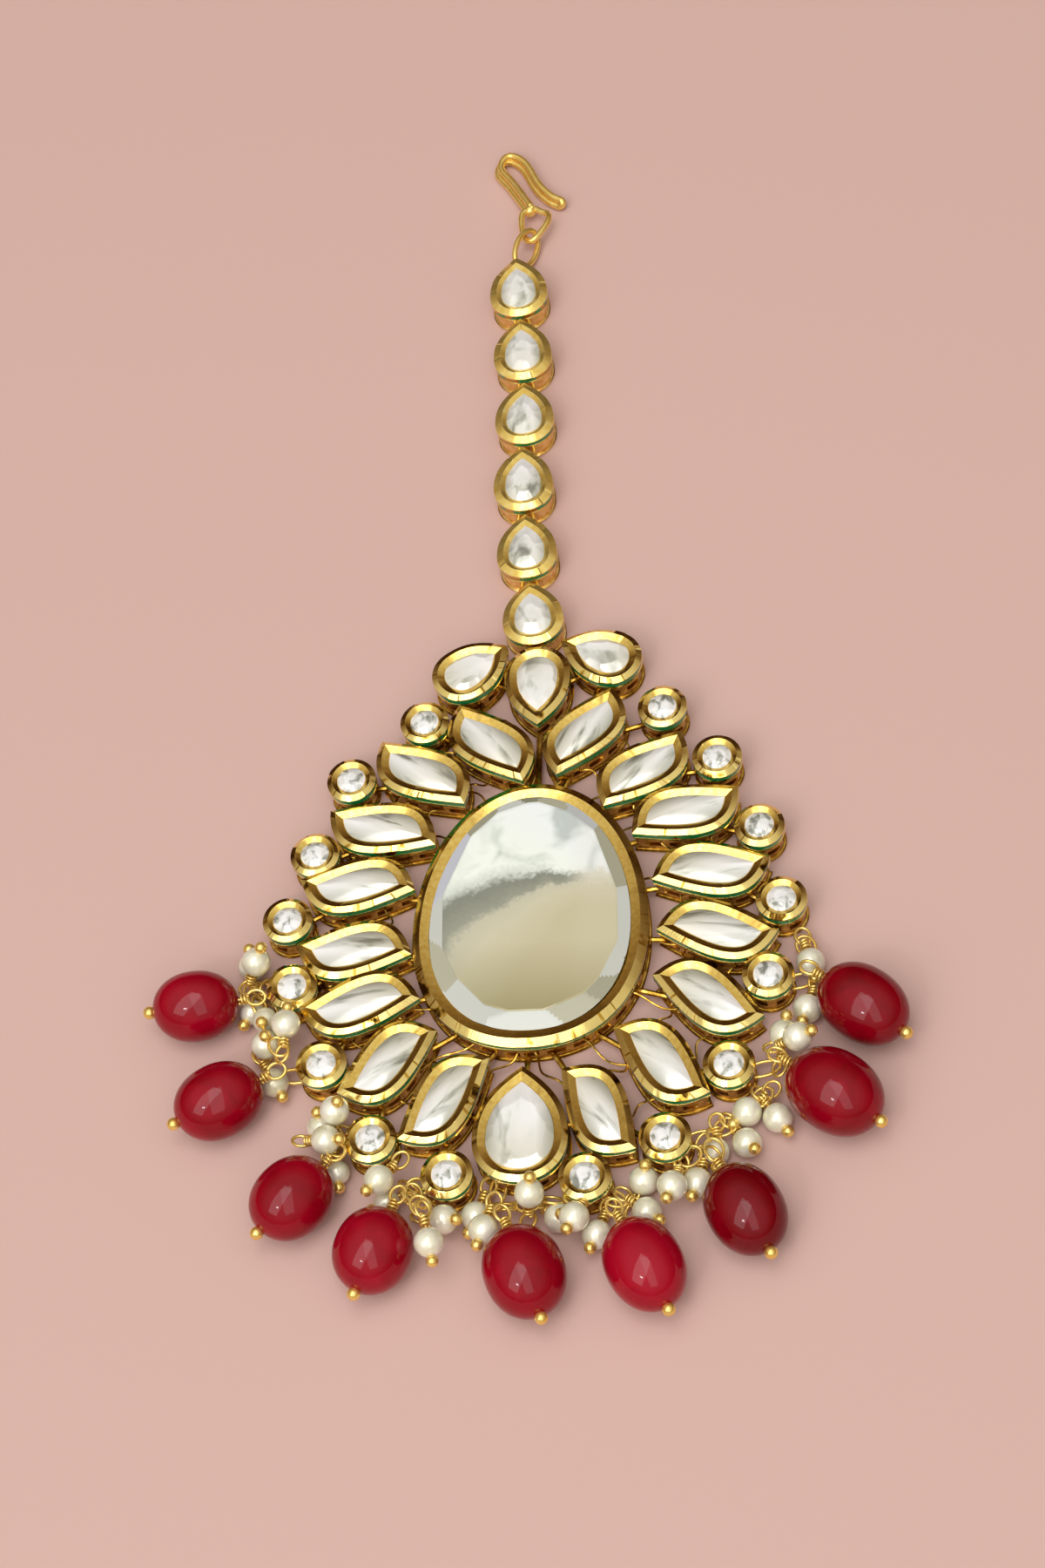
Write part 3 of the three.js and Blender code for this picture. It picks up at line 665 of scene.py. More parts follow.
def profile(rim):
    """Rows of inset, height, finish of the faces above the row, and what moves the row."""
    band, slope, rise = rim
    lip, seat = BODY_TOP - rise, band + slope
    return [
        (0.50, 0.00, SIDE, STILL),
        (0.14, 0.02, SIDE, STILL),
        (0.02, 0.16, SIDE, STILL),
        (0.02, 0.34, SIDE, STILL),
        (0.16, 0.50, SIDE, STILL),
        (0.34, 0.54, SIDE, STILL),
        (0.34, 1.44, SIDE, STILL),
        (0.34, 1.50, SIDE, SLOT),
        (0.34, 2.30, SIDE, SLOT),
        (0.34, 2.36, SIDE, STILL),
        (0.34, 3.28, SIDE, STILL),
        (0.12, 3.32, BRIGHT, STILL),
        (0.03, 3.46, BRIGHT, STILL),
        (0.12, 3.60, BRIGHT, STILL),
        (0.22, 3.64, GREEN, STILL),
        (0.14, 3.72, GREEN, STILL),
        (0.06, 3.84, GREEN, STILL),
        (0.04, lip - 0.14, BRIGHT, STILL),
        (0.00, lip - 0.08, BRIGHT, LIP),
        (0.02, lip, BRIGHT, LIP),
        (band - 0.05, BODY_TOP - 0.03, BRIGHT, CREST),
        (band, BODY_TOP, SOFT, CREST),
        (band + 0.05, BODY_TOP - 0.02, SOFT, CREST),
        (seat - 0.04, SEAT + 0.04, SOFT, STILL),
        (seat, SEAT, SOFT, STILL),
        (seat + 0.30, UNDER_STONE, SOFT, STILL),
    ]


def flats(count, breaks):
    """A height for each column: one random level between each two random breaks, closed round."""
    at = np.sort(rng.uniform(0, count, breaks))
    level = rng.uniform(-1, 1, breaks)
    return level[np.searchsorted(at, np.arange(count)) % breaks]


def slot_mask(line, pitch, length):
    """1 where a slot is, 0 between: slots of that length, one each pitch along the outline."""
    run = np.cumsum(np.linalg.norm(line - np.roll(line, 1, 0), axis=1))
    return ((run % pitch) < length).astype(float)


def setting(outline, rim=LEAF_RIM, top=BODY_TOP, breaks=11, slot=0.7):
    """The profile carried round the outline: inset by row, height by row, plus flats and slots.
    The flat coordinates are the run along the outline and the way up the profile."""
    rows = profile(rim)
    base = outline(0.0)
    count = len(base)
    inward = unit(outline(0.05) - base)
    still = np.zeros(count)
    cut = {SLOT: slot * slot_mask(base, SLOT_PITCH, SLOT_LENGTH)}
    lift = {LIP: LIP_FLATS * flats(count, breaks), CREST: CREST_FLATS * flats(count, breaks)}
    sheet = []
    for d, z, _, move in rows:
        plan = outline(d) + inward * cut.get(move, still)[:, None]
        sheet.append(np.column_stack([plan, z * top / BODY_TOP + lift.get(move, still)]))
    sheet = np.array(sheet)
    hub = base.mean(0)
    plate = UNDER_STONE * top / BODY_TOP
    points = np.concatenate([sheet.reshape(-1, 3), [[*hub, 0.0]], [[*hub, plate]]])
    run = run_along(np.concatenate([base, base[:1]]))
    up = run_along(np.array([row[:2] for row in rows]))
    r, c = np.divmod(np.arange((len(rows) - 1) * count), count)
    corners = [(0, 0), (1, 0), (1, 1), (0, 1)]
    flat = np.stack([np.column_stack([run[c + i], up[r + j]]) for i, j in corners], 1)
    finish = np.array([row[2] for row in rows])[r]
    flat = np.concatenate([flat, np.zeros((2 * count, 4, 2))])
    finish = np.concatenate([finish, np.full(count, SIDE), np.full(count, SOFT)])
    return patch(points, closed_faces(len(rows), count), finish, flat)


print("rows of the profile:", len(profile(LEAF_RIM)))

# %% [markdown]
# ## Solder straps and tie wires
# The settings stand clear of each other, and short straps soldered across the gaps hold them. Thin
# wires were twisted round them first, to hold the flower together for soldering. Straps and wires run
# from the middle of one setting to the middle of the next, so only the bit in the gap shows.

# %% Tubes
STRAP, STRAP_HIGH, STRAP_BOW = 0.84, 1.3, 0.3      # thickness, height of the ends, bow of the middle
TIE, TIE_HIGH, TIE_RISE, TIE_SWAY = 0.32, 2.1, 0.5, 0.55


def tube(path, radius, sides=10, closed=False):
    """A round profile carried along a path: across it, the normal is the path's direction crossed with
    the direction that the path uses least, so that the profile never twists on a flat curve."""
    path = np.asarray(path, float)
    count = len(path)
    ahead = unit(np.roll(path, -1, 0) - np.roll(path, 1, 0) if closed else np.gradient(path, axis=0))
    least = np.linalg.svd(ahead)[2][-1]
    across = unit(np.cross(ahead, least))
    third = np.cross(ahead, across)
    a = np.linspace(0, 2 * math.pi, sides, endpoint=False)
    ring = np.cos(a)[None, :, None] * across[:, None] + np.sin(a)[None, :, None] * third[:, None]
    points = (path[:, None] + radius * ring).reshape(-1, 3)
    if closed:
        return patch(points, grid_faces(count, sides, wrap_rows=True))
    return patch(np.concatenate([points, path[:1], path[-1:]]), closed_faces(count, sides))


def strap(a, b):
    """A low bar from a to b, bowed by half a sine wave."""
    t = np.linspace(0, 1, 9)[:, None]
    line = np.asarray(a) * (1 - t) + np.asarray(b) * t
    return tube(np.column_stack([line, STRAP_HIGH + STRAP_BOW * np.sin(math.pi * t[:, 0])]), STRAP / 2, 8)


def tie_wire(a, b):
    """A thin wire from a to b that sways by two and a half sine waves and rises and falls by two."""
    t = np.linspace(0, 1, 40)
    a, b = np.asarray(a, float), np.asarray(b, float)
    sway = TIE_SWAY * np.sin(5 * math.pi * t + rng.uniform(0, 6))
    line = a + t[:, None] * (b - a) + sway[:, None] * left_of(unit(b - a))
    high = TIE_HIGH + TIE_RISE * np.sin(4 * math.pi * t + rng.uniform(0, 6))
    return tube(np.column_stack([line, high]), TIE / 2, 6)


def middle(ends, share=0.5):
    """The point between the ends of a setting, at that share of the way from the first."""
    return np.array(ends[:2]) * (1 - share) + np.array(ends[2:]) * share


def tie_wires():
    """Between neighbouring leaves near both ends, and beside each leaf's strap to the centre."""
    patches = []
    for leaves in (LEFT_LEAVES, RIGHT_LEAVES):
        for ends, following in zip(leaves, leaves[1:]):
            patches += [tie_wire(middle(ends, share), middle(following, share)) for share in (0.35, 0.75)]
        patches += [tie_wire(middle(ends) * [1.0, 1.1], (0, 0.8 * ends[3])) for ends in leaves]
    return patches


def straps():
    """From each leaf to the centre and to the rounds beside it, and from the pears to what is near."""
    patches = []
    for leaves, rounds in [(LEFT_LEAVES, LEFT_ROUNDS), (RIGHT_LEAVES, RIGHT_ROUNDS)]:
        for k, ends in enumerate(leaves):
            patches.append(strap(middle(ends), (0, 0.6 * ends[3])))
            patches.append(strap(middle(ends), rounds[k]))
            if k + 1 < len(leaves):
                patches.append(strap(rounds[k], middle(leaves[k + 1])))
    top, bottom, left, right = [middle(ends) for ends, _ in PEARS]
    pairs = [
        (top, (0, 18)),
        (bottom, (0, -16)),
        (top, left),
        (top, right),
        (left, middle(LEFT_LEAVES[0])),
        (right, middle(RIGHT_LEAVES[0])),
        (bottom, middle(LEFT_LEAVES[7])),
        (bottom, middle(RIGHT_LEAVES[7])),
    ]
    return patches + [strap(a, b) for a, b in pairs]


print("straps in the flower:", len(straps()))

# %% The flower's settings
body = [setting(outline) for outline in LEAVES + PEAR_OUTLINES]
body += [setting(outline, ROUND_RIM, breaks=9) for outline in ROUNDS]
body.append(setting(CENTRE, CENTRE_RIM, breaks=22))
flower = put_mesh("flower_settings", body, [BURNISHED, SATIN, WALL, ENAMEL], sharp=9)
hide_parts("body_frame")
put_mesh("straps_and_tie_wires", straps() + tie_wires(), [WALL], sharp=9)

cups = [setting(outline, CUP_RIM, CHAIN_TOP, breaks=9, slot=0.0) for outline in CHAIN_OUTLINES]
chain = put_mesh("chain_cups", cups, [CUP_BAND, CUP_BAND, CUP_WALL, CUP_ENAMEL], sharp=9)
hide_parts(*[f"chain_cup_{k + 1}" for k in range(6)])

# %% [markdown]
# ## Stones
# A stone fills the seat from edge to edge. It is a stack of shrinking outlines, pulled towards its
# middle, that rise to a low crown. The leaves are smooth; the small rounds, the pears and the chain's
# stones have a few flats. Flats come from the lowest of several tilted planes, which are laid over a
# disc of radius 1 and stretched with it to the outline, so that none of them cuts below the edge.

# %% A crowned stone
OVER_SLOPE = 0.04         # how far a stone's edge comes out over the slope
OVER_SEAT = 0.06          # and how high above the seat
STONE_SIDE = 0.35         # height of its upright side, which goes down into the seat


def girdle(rim):
    """Inset of a stone's edge: the widths of band and slope, less what it comes out."""
    band, slope, _ = rim
    return band + slope - OVER_SLOPE


def dome(power):
    """Height share 1 - |spot| ** power, where spot is a place on the disc of radius 1."""
    return lambda spot: 1 - np.linalg.norm(spot, axis=-1) ** power


def rose_cut(sides, table, hills=5, steep=0.3):
    """Height share: the lowest of `sides` planes that fall from the table's edge to the outline, and of
    a few gentler planes across the top."""
    turn = np.linspace(0, 2 * math.pi, sides, endpoint=False) + rng.uniform(-0.2, 0.2, sides)
    far = table * rng.uniform(0.8, 1.2, sides)
    top_turn = np.linspace(0, 2 * math.pi, hills, endpoint=False) + rng.uniform(0, 2)
    top_steep = steep * rng.uniform(0.4, 1.4, hills)

    def share(spot):
        toward = spot[..., :1] * np.cos(turn) + spot[..., 1:] * np.sin(turn)
        over = spot[..., :1] * np.cos(top_turn) + spot[..., 1:] * np.sin(top_turn)
        edge = ((1 - toward) / (1 - far)).min(-1)
        top = (1 - top_steep * over).min(-1)
        return np.clip(np.minimum(edge, top), 0, 1)
    return share


def rings_to_hub(plan, high, peak, foot):
    """Points and faces of a solid: rings from the girdle inwards, a peak over the hub, a foot under it."""
    hub = plan[0].mean(0)
    points = np.concatenate([np.dstack([plan, high]).reshape(-1, 3), [[*hub, foot]], [[*hub, peak]]])
    return points, closed_faces(*high.shape)


def crown(number, outline, inset, low, rise, cut, rings, ends):
    """Rings pulled to the middle by s; height is low + rise times the cut's share at (1 - s). The flat
    coordinates are the place along and across the line between the ends, moved on by STONE_STEP for
    each stone before this one."""
    edge = outline(inset)
    hub = edge.mean(0)
    angle = np.arctan2(edge[:, 1] - hub[1], edge[:, 0] - hub[0])
    s = np.concatenate([[0.0], np.linspace(0.02, 1, rings + 1)[:-1]])[:, None, None]
    plan = edge[None] + (hub - edge)[None] * s
    high = low + rise * cut((1 - s) * np.stack([np.cos(angle), np.sin(angle)], -1))
    high[0] = low - STONE_SIDE
    peak = low + rise * float(cut(np.zeros((1, 2)))[0])
    points, faces = rings_to_hub(plan, high, peak, low - STONE_SIDE)
    local = points[:, :2] - hub
    if ends is not None:
        ahead = unit([ends[2] - ends[0], ends[3] - ends[1]])
        local = np.column_stack([local @ ahead, local @ left_of(ahead)])
    local[:, 0] += STONE_STEP * number
    return patch(points, faces, 0, local[np.where(faces < 0, 0, faces)])


def crowns(outlines, rim, seat, rise, cut, rings, ends):
    """A crown in each outline. cut makes a new cut each time, so that no two stones are cut alike."""
    return [
        crown(k, outline, girdle(rim), seat + OVER_SEAT, rise, cut(), rings, ends[k])
        for k, outline in enumerate(outlines)
    ]


print("a dome's height share half way out:", dome(2.4)(np.array([0.5, 0.0])).round(3))

# %% Leaf stones
leaf_ends = LEFT_LEAVES + RIGHT_LEAVES
leaf_stones = crowns(LEAVES, LEAF_RIM, SEAT, rise=0.55, cut=lambda: dome(2.4), rings=14, ends=leaf_ends)
stones = put_mesh("leaf_stones", leaf_stones, [LEAF_FOIL], sharp=40)
names = [f"leaf_stone_{side}_{k + 1}" for side in ("left", "right") for k in range(8)]
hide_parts(*names)

# %% Cut stones of the rounds, pears and chain
round_stones = crowns(
    ROUNDS, ROUND_RIM, SEAT, rise=0.55, cut=lambda: rose_cut(sides=8, table=0.45), rings=12,
    ends=[None] * len(ROUNDS))
put_mesh("round_stones", round_stones, [ROUND_FOIL], sharp=8)

pear_stones = crowns(
    PEAR_OUTLINES, LEAF_RIM, SEAT, rise=0.60, rings=20, ends=[ends for ends, _ in PEARS],
    cut=lambda: rose_cut(sides=11, table=0.66, hills=4, steep=0.10))
pears = put_mesh("pear_stones", pear_stones, [PEAR_FOIL], sharp=8)
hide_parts(*[f"pear_stone_{name}" for name in ("top", "bottom", "left", "right")])

chain_stones = crowns(
    CHAIN_OUTLINES, CUP_RIM, CHAIN_SEAT, rise=0.60, rings=16, ends=CHAIN_CUPS,
    cut=lambda: rose_cut(sides=8, table=0.45, steep=0.25))
chain_gems = put_mesh("chain_stones", chain_stones, [CHAIN_FOIL], sharp=8)
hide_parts(*[f"chain_stone_{k + 1}" for k in range(6)])

# %% [markdown]
# ## The centre stone
# The big flat stone has a broad table and a ring of long bevel cuts at its edge, wider at the foot.
# Its foil is one sheet with a wrinkle across it: a grey grainy fold that curves over to the right and
# runs out there. Above the fold a painted reflection makes it silver white, and inside the curve a
# painted reflection makes it warm beige, with painted shade that deepens it at the foot. The colour
# follows the distance from a point below the stone, less the curve's radius, over the fold's half
# width. Each bevel gets its own tone of painted reflection, colder than the foil.

# %% Foil under the centre stone
CENTRE_HUB = CENTRE(0.0).mean(0)
FOLD_AT = np.array([5.0, -17.5])     # middle of the fold's curve
FOLD_RADIUS = 24.0
FOLD_HALF = (3.0, 0.6)               # half width at the left and at the right
FOLD_DRIFT = 5.0                     # how far the curve strays, from one side to the other
FOLD_GRAIN = 2.0                     # the same for its grainy edge
# places from the middle of the curve
FOLD_THINS = (-15.0, 1.0)            # X over which the fold grows thin
FOLD_ENDS = (-1.0, 3.5)              # X over which it runs out
FOOT_SHADE = (3.5, 14.0)             # Y over which the shade at the foot runs out
SPAN = 8                             # the colour stops cover this many half widths on each side


def centre_foil():
    """The place on the colour stops is (distance from FOLD_AT - FOLD_RADIUS, strayed by two noises) over
    the half width, from -SPAN to SPAN; white above the fold and beige below it are painted reflection.
    Then come the calm right side, the painted shade at the foot and the clouds."""
    finish, tree, shader = start_finish("centre_stone_on_foil")
    place = add_node(tree, "ShaderNodeTexCoord")
    fold_at = ((FOLD_AT + FLOWER[:2]) * MM).tolist()
    centred = add_node(tree, "ShaderNodeMapping", {
        "Vector": place.outputs["Object"], "Location": (-fold_at[0], -fold_at[1], 0), "Scale": (1, 1, 0)})
    reach = add_node(tree, "ShaderNodeVectorMath", {0: centred}, operation="LENGTH")
    drift = add_node(tree, "ShaderNodeTexNoise", {
        "Vector": centred, "Scale": 0.13 * PER_MM, "Detail": 3.0, "Distortion": 0.4})
    grain = add_node(tree, "ShaderNodeTexNoise", {
        "Vector": centred, "Scale": 1.6 * PER_MM, "Detail": 3.0})
    nearest = -FOLD_RADIUS - (FOLD_DRIFT + FOLD_GRAIN) / 2
    wander = add_node(tree, "ShaderNodeMath", {
        0: drift, 1: FOLD_DRIFT * MM, 2: nearest * MM}, operation="MULTIPLY_ADD")
    fine = add_node(tree, "ShaderNodeMath", {
        0: grain, 1: FOLD_GRAIN * MM, 2: wander}, operation="MULTIPLY_ADD")
    beyond = add_node(tree, "ShaderNodeMath", {0: reach.outputs["Value"], 1: fine}, operation="ADD")
    split = add_node(tree, "ShaderNodeSeparateXYZ", {"Vector": centred})
    half = add_node(tree, "ShaderNodeMapRange", {
        "Value": split.outputs["X"], "From Min": FOLD_THINS[0] * MM, "From Max": FOLD_THINS[1] * MM,
        "To Min": FOLD_HALF[0] * MM, "To Max": FOLD_HALF[1] * MM})
    widths = add_node(tree, "ShaderNodeMath", {0: beyond, 1: half}, operation="DIVIDE")
    span = add_node(tree, "ShaderNodeMapRange", {"Value": widths, "From Min": -SPAN, "From Max": SPAN})
    # painted reflection: silver white above the fold, warm beige inside its curve
    tone = add_node(tree, "ShaderNodeValToRGB", {"Fac": span})
    set_stops(tone, [(0.02, "#C8C09C"), (0.34, "#D0CBAE"), (0.42, "#C9C6AE"), (0.455, "#9A9C8B"),
                     (0.53, "#84887A"), (0.57, "#DAE2D6"), (0.62, "#F8FFF4"), (0.98, "#F4FAFA")])
    calm = add_node(tree, "ShaderNodeValToRGB", {"Fac": span})
    set_stops(calm, [(0.02, "#CCC4A2"), (0.36, "#D0CAAE"), (0.54, "#DCDAC8"), (0.68, "#F0F4F1")])
    right = add_node(tree, "ShaderNodeMapRange", {
        "Value": split.outputs["X"], "From Min": FOLD_ENDS[0] * MM, "From Max": FOLD_ENDS[1] * MM},
        interpolation_type="SMOOTHSTEP")
    eased = add_node(tree, "ShaderNodeMixRGB", {"Fac": right, "Color1": tone, "Color2": calm})
    # painted shade: darker towards the foot of the stone
    low = add_node(tree, "ShaderNodeMapRange", {
        "Value": split.outputs["Y"], "From Min": FOOT_SHADE[0] * MM, "From Max": FOOT_SHADE[1] * MM,
        "To Min": 1.0, "To Max": 0.0})
    foot_shaded = add_node(tree, "ShaderNodeMixRGB", {
        "Fac": low, "Color1": eased, "Color2": colour("#CECAB0")}, blend_type="MULTIPLY")
    cloud = add_node(tree, "ShaderNodeTexNoise", {
        "Vector": centred, "Scale": 0.17 * PER_MM, "Detail": 2.0, "Distortion": 0.6})
    shade = add_node(tree, "ShaderNodeValToRGB", {"Fac": cloud})
    set_stops(shade, [(0.32, "#C2C8C4"), (0.42, "#EEF0EE"), (0.5, "#FFFFFF")])
    upper = add_node(tree, "ShaderNodeMapRange", {
        "Value": span, "From Min": 0.55, "From Max": 0.66, "To Max": 0.85})
    shaded = add_node(tree, "ShaderNodeMixRGB", {
        "Fac": upper, "Color1": foot_shaded, "Color2": shade}, blend_type="MULTIPLY")
    bump = add_node(tree, "ShaderNodeBump", {"Height": grain, "Strength": 0.5, "Distance": 0.03 * MM})
    feed(shader, {
        "Base Color": shaded, "Metallic": 0.12, "Roughness": 0.30, "Coat Weight": 1.0,
        "Coat Roughness": 0.02, "Normal": bump})
    return finish


def bevel_glass_painted_reflection():
    """Clear glass over the silvered wall of the seat. The flat coordinates hold one place per bevel, so
    the noise gives each bevel one tone of painted reflection: warm grey, beige, a faint cold lilac or
    nearly white."""
    finish, tree, shader = start_finish("centre_stone_bevel_painted_reflection")
    each = add_node(tree, "ShaderNodeUVMap", uv_map="Along")
    # painted reflection: one tone for each bevel
    reflection_pick = add_node(tree, "ShaderNodeTexNoise", {"Vector": each, "Scale": 0.37 * PER_MM, "Detail": 0.0})
    tone = add_node(tree, "ShaderNodeValToRGB", {"Fac": reflection_pick})
    set_stops(tone, [
        (0.34, "#8C8B74"), (0.43, "#B0AE98"), (0.50, "#C6C9C2"), (0.55, "#AEB0C0"), (0.62, "#EEF4F6")])
    feed(shader, {"Base Color": tone, "Metallic": 0.1, "Roughness": 0.25, "Specular IOR Level": 0.3})
    return finish


CENTRE_FINISHES = [centre_foil(), bevel_glass_painted_reflection()]

# %% Centre stone
BEVELS = 16
BEVEL_STEP = 7.0                     # mm between the flat coordinates of one bevel and the next
TABLE = 5.3
CENTRE_FOOT = 4.3                    # height of the stone's underside
bevel_turn = np.linspace(0, 2 * math.pi, BEVELS, endpoint=False) + rng.uniform(-0.07, 0.07, BEVELS)
bevel_steep = rng.uniform(0.10, 0.26, BEVELS)
centre_arm = CENTRE(girdle(CENTRE_RIM)) - CENTRE_HUB
bevel_ways = np.stack([np.cos(bevel_turn), np.sin(bevel_turn)])
# each bevel starts 1 mm inside the girdle at the top of the stone, 2 mm at its sides and 3 mm at its foot
bevel_reach = (centre_arm @ bevel_ways).max(0) - 2.0 + np.sin(bevel_turn)
bevel_reach += rng.uniform(-0.4, 0.4, BEVELS)


def centre_stone(bevel_rings=10, table_rings=50):
    """Spokes run from the hub to the girdle. Along a spoke the table ends at the nearest bevel plane,
    and beyond it the height is the lowest plane, TABLE - steep * (distance towards it - its reach).
    The table swells by a few hundredths of a millimetre, which bends what it mirrors."""
    count = len(centre_arm)
    toward = centre_arm @ bevel_ways
    inside = np.where(toward > 0, bevel_reach / np.maximum(toward, 0.01), 9.0).min(1)
    out = inside + (1 - inside) * np.linspace(1, 0, bevel_rings)[:, None]
    within = inside * np.linspace(1, 0, table_rings)[1:-1, None]
    share = np.concatenate([np.ones((1, count)), out[::-1], within])
    local = share[..., None] * centre_arm
    planes = TABLE - bevel_steep * (local @ bevel_ways - bevel_reach)
    swell = 0.03 * np.sin(local[..., 0] / 4.5 + 0.8) * np.cos(local[..., 1] / 6.0)
    high = np.minimum(planes.min(-1), TABLE + swell * (1 - np.minimum(share / inside, 1) ** 4))
    high[0] = CENTRE_FOOT
    points, faces = rings_to_hub(local + CENTRE_HUB, high, TABLE + 0.02, CENTRE_FOOT)
    finish = np.zeros(len(faces), int)
    finish[:bevel_rings * count] = 1
    flat = np.zeros((len(faces), 4, 2))
    lowest = planes[1:bevel_rings + 1].argmin(-1).ravel()
    flat[:bevel_rings * count, :, 0] = BEVEL_STEP * lowest[:, None]
    return patch(points, faces, finish, flat)


centre = put_mesh("centre_stone_on_foil", [centre_stone()], CENTRE_FINISHES, sharp=5)
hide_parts("centre_stone")

# %% [markdown]
# ## Chain links, hook and ring
# Between the cups an oval link runs under the rims. The hook is one wire doubled back on
# itself and bent, with its U-turn as the tip; a second wire makes the eye at its foot, and a tilted
# ring joins the eye to the first cup. Curves through a few points are smoothed by a Catmull-Rom rule.

# %% Wires through points
def through(corners, steps=12, closed=False):
    """Catmull-Rom: each stretch blends four neighbours with cubic weights, so it meets every corner."""
    p = np.asarray(corners, float)
    before = np.roll(p, 1, 0) if closed else np.concatenate([2 * p[:1] - p[1:2], p[:-1]])
    after = np.roll(p, -1, 0) if closed else np.concatenate([p[1:], 2 * p[-1:] - p[-2:-1]])
    later = np.roll(after, -1, 0) if closed else np.concatenate([after[1:], 2 * after[-1:] - p[-1:]])
    t = np.linspace(0, 1, steps, endpoint=False)[None, :, None]
    a, b, c, d = before[:, None], p[:, None], after[:, None], later[:, None]
    cubic = 3 * b - 3 * c + d - a
    line = 0.5 * (2 * b + (c - a) * t + (2 * a - 5 * b + 4 * c - d) * t ** 2 + cubic * t ** 3)
    if closed:
        return line.reshape(-1, 3)
    return np.concatenate([line[:-1].reshape(-1, 3), p[-1:]])


def oval(centre, long, wide, heading, wire, tilt=0.0, sides=10):
    """An oval of wire: long axis by heading, then turned about it by tilt."""
    a = np.linspace(0, 2 * math.pi, 36, endpoint=False)
    flat = np.stack([(long - wire) / 2 * np.cos(a), (wide - wire) / 2 * np.sin(a), 0 * a], -1)
    h, k = math.radians(heading), math.radians(tilt)
    tip = np.array([[1, 0, 0], [0, math.cos(k), math.sin(k)], [0, -math.sin(k), math.cos(k)]])
    spin = np.array([[math.cos(h), math.sin(h), 0], [-math.sin(h), math.cos(h), 0], [0, 0, 1]])
    return tube(flat @ tip @ spin + np.asarray(centre), wire / 2, sides, closed=True)


def ball(centre, diameter, rows=12, count=16):
    """A globe: rings of radius r sin(a) at height -r cos(a), closed by a point at each pole."""
    a = np.linspace(0, math.pi, rows + 1)[1:-1, None]
    b = np.linspace(0, 2 * math.pi, count, endpoint=False)[None]
    r = diameter / 2
    ring = np.stack([r * np.sin(a) * np.cos(b), r * np.sin(a) * np.sin(b), -r * np.cos(a) + 0 * b], -1)
    points = np.concatenate([ring.reshape(-1, 3), [[0, 0, -r], [0, 0, r]]]) + np.asarray(centre)
    return patch(points, closed_faces(rows - 1, count))


link_ovals = [
    oval((x, y - 0.3, 1.6), long=4.4, wide=3.2, heading=90, wire=0.7)
    for _, _, x, y in CHAIN_CUPS
]
links = put_mesh("chain_links", link_ovals, [WIRE])
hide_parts(*[f"chain_link_{k + 1}" for k in range(6)])

# %% Hook, eye and ring
# middle line of the doubled wire: x, y, z
HOOK_LINE = [
    (-5.2, 130.8, 1.8),
    (-8.4, 136.6, 1.3),
    (-10.5, 139.9, 1.1),
    (-10.1, 142.1, 1.1),
    (-8.7, 142.6, 1.1),
    (-6.6, 140.8, 1.1),
    (-4.4, 136.4, 1.1),
    (-2.4, 133.8, 1.1),
    (-0.7, 132.6, 1.1),
]
EYE_LINE = [
    (-4.8, 131.0, 2.0),
    (-6.4, 129.8, 2.1),
    (-6.2, 126.2, 2.0),
    (-5.2, 124.2, 2.2),
    (-3.8, 124.6, 2.6),
    (-2.2, 127.6, 2.6),
    (-2.3, 129.4, 2.3),
    (-3.4, 130.2, 2.1),
]
PAIR = np.array([0.28, 0.18, 0.46])      # from the middle line to the upper wire
HOOK_WIRE = 1.2
EYE_WIRE = 1.0
SOLDER = 2.0                             # blob where the hook's two ends meet the eye


def hook_and_eye():
    """Up the lower wire, round a half circle at the tip, and back down the upper one."""
    line = through(HOOK_LINE)
    upper, lower = line + PAIR, line - PAIR
    ahead = unit(line[-1] - line[-2])
    a = np.linspace(-math.pi / 2, math.pi / 2, 11)[1:-1, None]
    turn = line[-1] + np.linalg.norm(PAIR) * ahead * np.cos(a) + PAIR * np.sin(a)
    both = np.concatenate([lower, turn, upper[::-1]])
    ends = [ball(upper[0], HOOK_WIRE), ball(lower[0], HOOK_WIRE), ball((upper[0] + lower[0]) / 2, SOLDER)]
    eye = tube(through(EYE_LINE, closed=True), EYE_WIRE / 2, 12, closed=True)
    return [tube(both, HOOK_WIRE / 2, 12), eye] + ends


hook = put_mesh("hook_and_eye", hook_and_eye(), [WIRE])
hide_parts("hook")
ring_oval = oval((-5.45, 122.6, 2.2), long=8.0, wide=4.6, heading=73, wire=0.9, tilt=46, sides=12)
ring = put_mesh("eye_ring", [ring_oval], [WIRE])
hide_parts("hook_ring")

# %% [markdown]
# ## Ruby beads
# Each bead is turned from a rounded barrel, bored along its length and slightly uneven. Its profile
# is a superellipse: radius = w/2 (1 - |t|^2.15)^0.49, with t from -1 at one mouth to 1 at the other.

# %% Beads
# middle x, y, then length, diameter, the heading of the pin's ball end in degrees, and the tint
BEADS = [
    (-45.7, -11.4, 11.8, 9.7, -173, 0.7),
    (-41.2, -26.0, 12.4, 10.0, -151, 0.6),
    (-30.1, -40.6, 12.0, 10.2, -131, 0.6),
    (-18.7, -48.4, 11.7, 10.3, -110, 0.75),
    (1.2, -51.9, 12.7, 10.6, -69, 0.65),
    (16.7, -51.2, 13.0, 10.3, -63, 0.95),
    (29.6, -43.9, 12.8, 10.3, -62, 0.1),
    (41.2, -27.7, 13.8, 11.0, -37, 0.5),
    (45.1, -14.7, 13.2, 10.1, -39, 0.3),
]
BORE = 0.9
MOUTH = 0.12              # width of the flat ring round the bore's mouth
SUNK = 0.1                # how far inside the mouth the bore's wall starts
LUMPS = (0.012, 0.008)    # depth of the slow lumps round a bead, as shares of its radius


